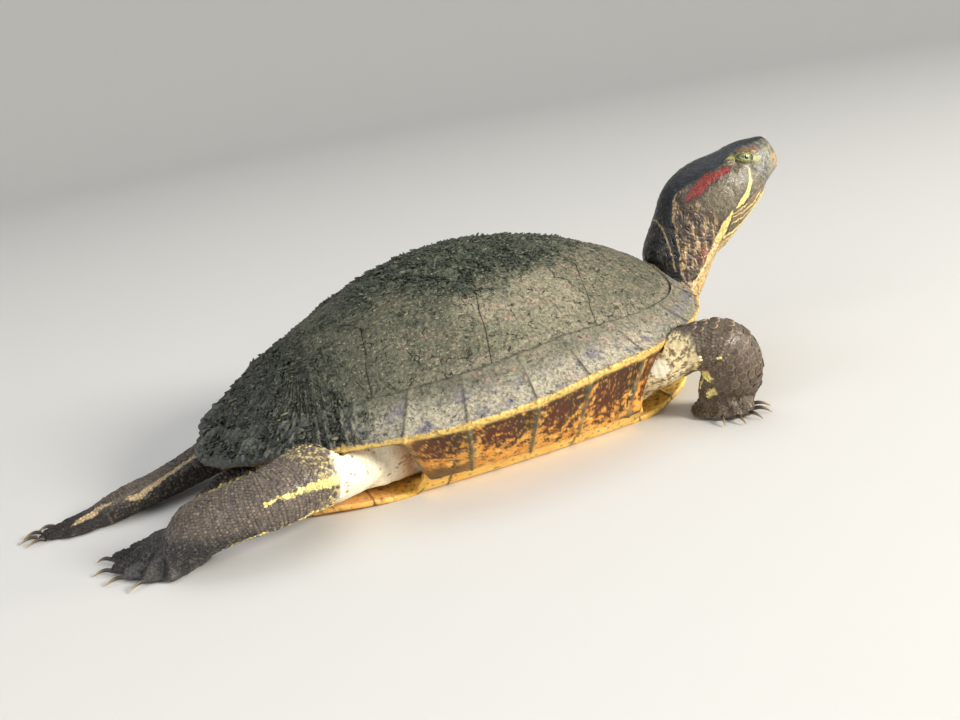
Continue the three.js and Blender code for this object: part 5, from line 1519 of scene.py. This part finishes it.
def add_scales(ground, material):
    """Horny scales on the legs, the tail and the feet."""
    rng = np.random.default_rng(11)
    for name in ("hindleg_left", "hindleg_right", "foreleg_left", "foreleg_right", "tail"):
        sets = SCALE_SETS[name[:4]]
        lattices = [limb_lattice(LIMBS[name], *spread, rng) for _, spread, _, _ in sets]
        taken = []
        for number, ((shape, _, size, tip), lattice) in enumerate(zip(sets, lattices), 1):
            placed = limb_scales(ground, name, lattice, size, tip, rng)
            taken.append(placed[0])
            scattered(f"scales_{name}_{number}", "skin", shape, *placed, material)
        if name in FEET:
            placed = foot_scales(ground, FEET[name], np.vstack(taken), rng)
            scattered("scales_foot_" + name, "skin", PEBBLE, *placed, material)


def add_growth(name, count, seed, rear_only, material):
    """Jagged flakes of algae all over the back, most on the crest, or larger ones on the rear alone."""
    rng = np.random.default_rng(seed)
    low, high = (-124, -48) if rear_only else (-122, 112)
    x, y = rng.uniform(low, high, count * 4), rng.uniform(-88, 88, count * 4)
    _, t = polar(x, y)
    at = stack(x, y, dome_point(x, y))
    share = algae_share(at)
    patchy = smooth(-0.3, 0.5, mottle(at, 11, seed + 0.5))
    wanted = (0.2 + 0.8 * share) * (0.12 + 0.88 * patchy) * (1 - 0.45 * smooth(-50, -90, x))
    if rear_only:
        wanted = wanted * (share > 0.35)
    kept = (t < 0.985) & (rng.random(len(x)) < wanted)
    at, share, x, y = (v[kept][:count] for v in (at, share, x, y))
    step = 0.4
    slope = stack((dome_point(x + step, y) - dome_point(x - step, y)) / (2 * step),
                  (dome_point(x, y + step) - dome_point(x, y - step)) / (2 * step))
    normal = unit(stack(*-slope.T, 0 * x + 1))
    down = unit(stack(*-slope.T, -(slope ** 2).sum(1)) + 1e-6)
    swing = rng.normal(0, 85 if rear_only else 60, len(x)) * DEG
    along = down * np.cos(swing)[:, None] + np.cross(normal, down) * np.sin(swing)[:, None]
    at[:, 2] += rough_growth(at, share) - 0.15
    spans = ((0.7, 1.8), (0.5, 1.3), (0.4, 1.2)) if rear_only else ((0.5, 1.7), (0.22, 0.6), (0.3, 1.0))
    size = stack(*(rng.uniform(*span, len(x)) for span in spans))
    if not rear_only:
        size *= (0.55 + 0.85 * share)[:, None]
    paint = Paint(x, 32, 37, 33)
    paint(rng.random(len(x)) * 0.8, 82, 88, 74)
    paint((rng.random(len(x)) < (0.02 if rear_only else 0.06)) * 0.7, 128, 124, 102)
    paint((1 - share) * 0.3, 104, 100, 80)
    uv = 0.5 + stack(x, y) / 300
    scattered(name, "carapace", FLAKE, at, normal, along, size, paint.colour, uv, material)


# ---- materials ----


class Finish:
    """A node material, built from noise in the object's own space and the meshes' colour fields."""

    def __init__(self, name, **settings):
        self.material = bpy.data.materials.new(name)
        self.material.use_nodes = True
        self.tree = self.material.node_tree
        self.shader = self.tree.nodes["Principled BSDF"]
        self.place = self.tree.nodes.new("ShaderNodeTexCoord").outputs["Object"]
        for key, value in settings.items():
            self.shader.inputs[key.replace("_", " ")].default_value = value

    def node(self, kind, inputs, out=0, **settings):
        node = self.tree.nodes.new("ShaderNode" + kind)
        for key, value in settings.items():
            setattr(node, key, value)
        for key, value in inputs.items():
            if isinstance(value, bpy.types.NodeSocket):
                self.tree.links.new(value, node.inputs[key])
            else:
                node.inputs[key].default_value = value
        return node.outputs[out]

    def field(self, name, out="Fac"):
        return self.node("Attribute", {}, out, attribute_name=name)

    def noise(self, size, detail=5.0, rough=0.6, stretch=(1, 1, 1), warp=0.0):
        place = self.node("Mapping", {"Vector": self.place, "Scale": stretch})
        return self.node("TexNoise", {"Vector": place, "Scale": 1000 / size, "Detail": detail,
                                      "Roughness": rough, "Distortion": warp})

    def cells(self, size):
        return self.node("TexVoronoi", {"Vector": self.place, "Scale": 1000 / size},
                         feature="DISTANCE_TO_EDGE")

    def span(self, value, low, high, first=0.0, last=1.0):
        """The value's run from low to high, eased, as a number from first to last."""
        return self.node("MapRange", {"Value": value, "From Min": low, "From Max": high, "To Min": first,
                                      "To Max": last}, interpolation_type="SMOOTHSTEP")

    def calc(self, how, a, b):
        return self.node("Math", {0: a, 1: b}, operation=how)

    def mixed(self, share, a, b, how="MIX"):
        return self.node("Mix", {0: share, 6: a, 7: b}, 2, data_type="RGBA", blend_type=how)

    def scaled(self, colour, factor):
        return self.node("VectorMath", {0: colour, "Scale": factor}, operation="SCALE")

    def tinted(self, fine, *span):
        """The mesh's own colours, made lighter and darker by a noise."""
        return self.scaled(self.field("colour", "Vector"), self.span(fine, *span))

    def bump(self, *layers):
        """Relief from (height, depth in mm) layers, laid one on the other."""
        below = None
        for height, depth in layers:
            inputs = {"Height": height, "Distance": depth * MM}
            if below is not None:
                inputs["Normal"] = below
            below = self.node("Bump", inputs)
        self.tree.links.new(below, self.shader.inputs["Normal"])

    def use(self, **sockets):
        for key, value in sockets.items():
            self.tree.links.new(value, self.shader.inputs[key.replace("_", " ")])
        return self.material


def ink(r, g, b):
    """The same as tone, as a node colour."""
    return (*tone(r, g, b), 1.0)


def cracks(f, size, seen_size):
    """Short dark cracks: pieces of a noise's contour lines."""
    line = f.calc("ABSOLUTE", f.calc("SUBTRACT", f.noise(size, 3, 0.5, warp=0.6), 0.5), 0.0)
    seen = f.span(f.noise(seen_size, 2, 0.5, (1.3, 1, 0.9)), 0.5, 0.57)
    return f.calc("MULTIPLY", f.span(line, 0.003, 0.02, 1.0, 0.0), seen)


def carapace_material():
    f = Finish("carapace_horn", Specular_IOR_Level=0.3)
    growth = f.field("growth")
    fine = f.noise(1.5, 7, 0.72)
    flecks = f.noise(2.6, 4, 0.6, (1.6, 0.8, 1), 0.6)
    colour = f.tinted(fine, 0.33, 0.67, 0.5, 1.55)
    dark = f.calc("MULTIPLY", f.span(flecks, 0.57, 0.64), f.span(growth, 0.0, 0.8, 0.3, 0.95))
    colour = f.mixed(dark, colour, ink(26, 30, 24))
    pale = f.calc("MULTIPLY", f.span(f.noise(1.3, 3, 0.5, (0.8, 1.5, 1), 0.4), 0.6, 0.68), 0.55)
    colour = f.mixed(pale, colour, ink(184, 176, 146))
    crack = cracks(f, 8, 5.3)
    colour = f.mixed(f.calc("MULTIPLY", crack, 0.85), colour, ink(24, 25, 20))
    rough = f.calc("SUBTRACT", f.span(fine, 0.35, 0.65, 0.62, 0.86), f.calc("MULTIPLY", growth, 0.28))
    clumps = f.calc("MULTIPLY", f.noise(3.4, 5, 0.65, (1, 1, 1), 1.2), f.span(growth, 0.0, 0.8, 0.25, 1.0))
    uncracked = f.span(crack, 0.0, 1.0, 1.0, 0.0)
    f.bump((f.noise(6, 4, 0.6), 0.6), (clumps, 1.6), (fine, 0.6), (flecks, 0.7), (uncracked, 0.5))
    return f.use(Base_Color=colour, Roughness=rough)


def rim_material():
    f = Finish("rim_horn", Specular_IOR_Level=0.4)
    growth = f.field("growth")
    fine = f.noise(1.4, 7, 0.72)
    flecks = f.noise(2.4, 4, 0.6, (1, 1, 1), 0.5)
    colour = f.tinted(fine, 0.33, 0.67, 0.5, 1.55)
    calm = f.field("under")
    colour = f.mixed(f.calc("MULTIPLY", calm, 0.7), colour, f.field("colour", "Vector"))
    dark = f.calc("MULTIPLY", f.span(flecks, 0.57, 0.63), f.span(growth, 0.0, 0.8, 0.35, 0.95))
    dark = f.calc("MULTIPLY", dark, f.span(calm, 0.0, 1.0, 1.0, 0.25))
    colour = f.mixed(dark, colour, ink(32, 27, 18))
    crack = f.calc("MULTIPLY", cracks(f, 6, 4.6), f.span(calm, 0.0, 1.0, 0.8, 0.2))
    colour = f.mixed(crack, colour, ink(34, 32, 26))
    rough = f.span(fine, 0.35, 0.65, 0.45, 0.75)
    f.bump((f.noise(5, 4, 0.6), 0.35), (fine, 0.35), (flecks, 0.3))
    return f.use(Base_Color=colour, Roughness=rough)


def plastron_material():
    f = Finish("plastron_horn", Specular_IOR_Level=0.5, Coat_Weight=0.15, Coat_Roughness=0.3)
    fine = f.noise(2.0, 6, 0.65)
    specks = f.noise(1.7, 3, 0.5)
    colour = f.tinted(fine, 0.3, 0.7, 0.82, 1.16)
    colour = f.mixed(f.calc("MULTIPLY", f.span(specks, 0.66, 0.72), 0.8), colour, ink(66, 40, 18))
    f.bump((f.noise(9, 3, 0.5), 0.3), (fine, 0.12))
    return f.use(Base_Color=colour, Roughness=f.span(fine, 0.35, 0.65, 0.32, 0.55))


def skin_material():
    f = Finish("hide", Specular_IOR_Level=0.55, Subsurface_Weight=0.06, Subsurface_Scale=0.004)
    soft = f.field("soft")
    fine = f.noise(1.2, 6, 0.68)
    pores = f.cells(0.95)
    colour = f.tinted(fine, 0.3, 0.7, 0.68, 1.34)
    colour = f.scaled(colour, f.span(pores, 0.0, 0.16, 0.76, 1.04))
    colour = f.mixed(f.calc("MULTIPLY", soft, 0.8), colour, f.field("colour", "Vector"))
    wrinkles = f.noise(2.2, 3, 0.5, (1, 1, 0.35), 0.8)
    f.bump((f.noise(4.5, 4, 0.6), 0.35), (pores, 0.16), (wrinkles, 0.22), (fine, 0.12))
    return f.use(Base_Color=colour, Roughness=f.span(fine, 0.35, 0.65, 0.23, 0.44))


def grained(name, grain, tint, rough, depth, *more, **settings):
    """Horn whose shade, roughness and relief follow one fine noise; more are (noise, depth) of relief."""
    f = Finish(name, **settings)
    fine = f.noise(*grain)
    colour = f.tinted(fine, *tint)
    f.bump((fine, depth), *((f.noise(*noise), below) for noise, below in more))
    return f.use(Base_Color=colour, Roughness=f.span(fine, *rough))


def bone_material():
    f = Finish("seam_dark", Specular_IOR_Level=0.2)
    fine = f.noise(1.0, 4, 0.6)
    f.bump((fine, 0.3))
    return f.use(Base_Color=f.mixed(f.span(fine, 0.3, 0.7), ink(48, 46, 38), ink(100, 95, 78)),
                 Roughness=f.span(fine, 0.3, 0.7, 0.7, 0.9))


def add_stage():
    """A round floor that curves up into a backdrop all round."""
    floor = Finish("stage_floor", Base_Color=(0.72, 0.71, 0.69, 1), Roughness=0.9).material
    curve = np.linspace(0.1, math.pi / 2, 12)
    profile = [(1.2, 0), (2, 0), *zip(2 + 1.5 * np.sin(curve), 1.5 - 1.5 * np.cos(curve))]
    profile += [(3.5, 2.5), (3.5, 4)]
    n = 96
    turn = np.arange(n) * 2 * math.pi / n
    rings = [stack(r * np.cos(turn), r * np.sin(turn), z + 0 * turn) for r, z in profile]
    points = np.vstack([*rings, [[0, 0, 0]]]) / MM
    i, j = np.arange(len(profile) - 1)[:, None] * n, np.arange(n)
    k = (j + 1) % n
    quads = stack(i + n + j, i + n + k, i + k, i + j).reshape(-1, 4)
    tris = stack(0 * j + len(points) - 1, j, k)
    new_object("studio_floor", points, [quads, tris], floor)


def add_light(name, at, target, size, power, colour):
    data = bpy.data.lights.new(name, "AREA")
    data.size = size
    data.energy = power
    data.color = colour
    light = bpy.data.objects.new(name, data)
    light.location = at
    light.rotation_mode = "QUATERNION"
    light.rotation_quaternion = (Vector(target) - Vector(at)).to_track_quat("-Z", "Y")
    bpy.context.scene.collection.objects.link(light)


def add_lights():
    add_light("key", (1.05, -1.65, 0.85), (0, 0, 0.03), 0.5, 51, (1.0, 0.95, 0.86))
    add_light("front", (1.3, -0.9, 0.3), (0.09, -0.04, 0.02), 0.5, 8, (1.0, 0.97, 0.9))
    add_light("fill", (-1.6, -1.1, 1.0), (0, 0, 0.03), 1.6, 17, (0.92, 0.96, 1.0))
    add_light("top", (0.1, 0.5, 2.2), (0, 0, 0.03), 2.0, 13, (1, 1, 1))
    world = bpy.data.worlds.new("studio")
    world.use_nodes = True
    world.node_tree.nodes["Background"].inputs["Color"].default_value = (0.9, 0.95, 1.0, 1)
    world.node_tree.nodes["Background"].inputs["Strength"].default_value = 0.35
    bpy.context.scene.world = world


# ---- the turtle ----
add_camera()
bpy.context.scene.view_settings.view_transform = "Standard"
horn = carapace_material()
rim_horn = rim_material()
bone = bone_material()
belly = plastron_material()
hide = skin_material()
for number, (name, outline) in enumerate(plate_outlines().items()):
    plate_piece(name, outline, number * 1.0, horn)
trim = SEAM_HALF / SIDE
rim_piece("rim_left", SEAMS[0] + trim, math.pi - trim / 2, "marginals_left", rim_horn, RIM_STEPS, False)
rim_piece("rim_right", -SEAMS[0] - trim, -math.pi + trim / 2, "marginals_right", rim_horn, RIM_STEPS, True)
rim_piece("rim_nuchal", -SEAMS[0] + trim, SEAMS[0] - trim, "nuchal", rim_horn, NUCHAL_STEPS, False)
bone_core(bone)
for row in range(len(PLASTRON_ROWS)):
    plastron_piece(row, belly)
skin_points, skin_normals = make_skin(hide)
eye_look = grained("eye", (0.5, 5, 0.7), (0.3, 0.7, 0.7, 1.25), (0.3, 0.7, 0.16, 0.28), 0.02,
                   Specular_IOR_Level=0.6, Coat_Weight=1.0, Coat_Roughness=0.03)
claw_look = grained("claw_horn", (0.9, 5, 0.65), (0.3, 0.7, 0.75, 1.2), (0.35, 0.65, 0.3, 0.5), 0.08,
                    Specular_IOR_Level=0.5)
for tag, sign in (("left", 1), ("right", -1)):
    eye_piece(tag, sign, eye_look)
for foot_name, foot in FEET.items():
    for number in range(1, foot["clawed"] + 1):
        claw_piece(f"claw_{foot_name}_{number}", number, foot, claw_look)
ground = Ground(skin_points, skin_normals)
scales, algae = (grained(name, (1.0, 5, 0.65), (0.3, 0.7, 0.78, 1.24), (0.35, 0.65, 0.42, 0.62), 0.1,
                         ((0.5, 3, 0.6), 0.05), Specular_IOR_Level=0.4) for name in ("scales", "algae"))
add_scales(ground, scales)
add_growth("growth_crest", 8200, 21, False, algae)
add_growth("growth_rear", 1500, 22, True, algae)
add_stage()
add_lights()
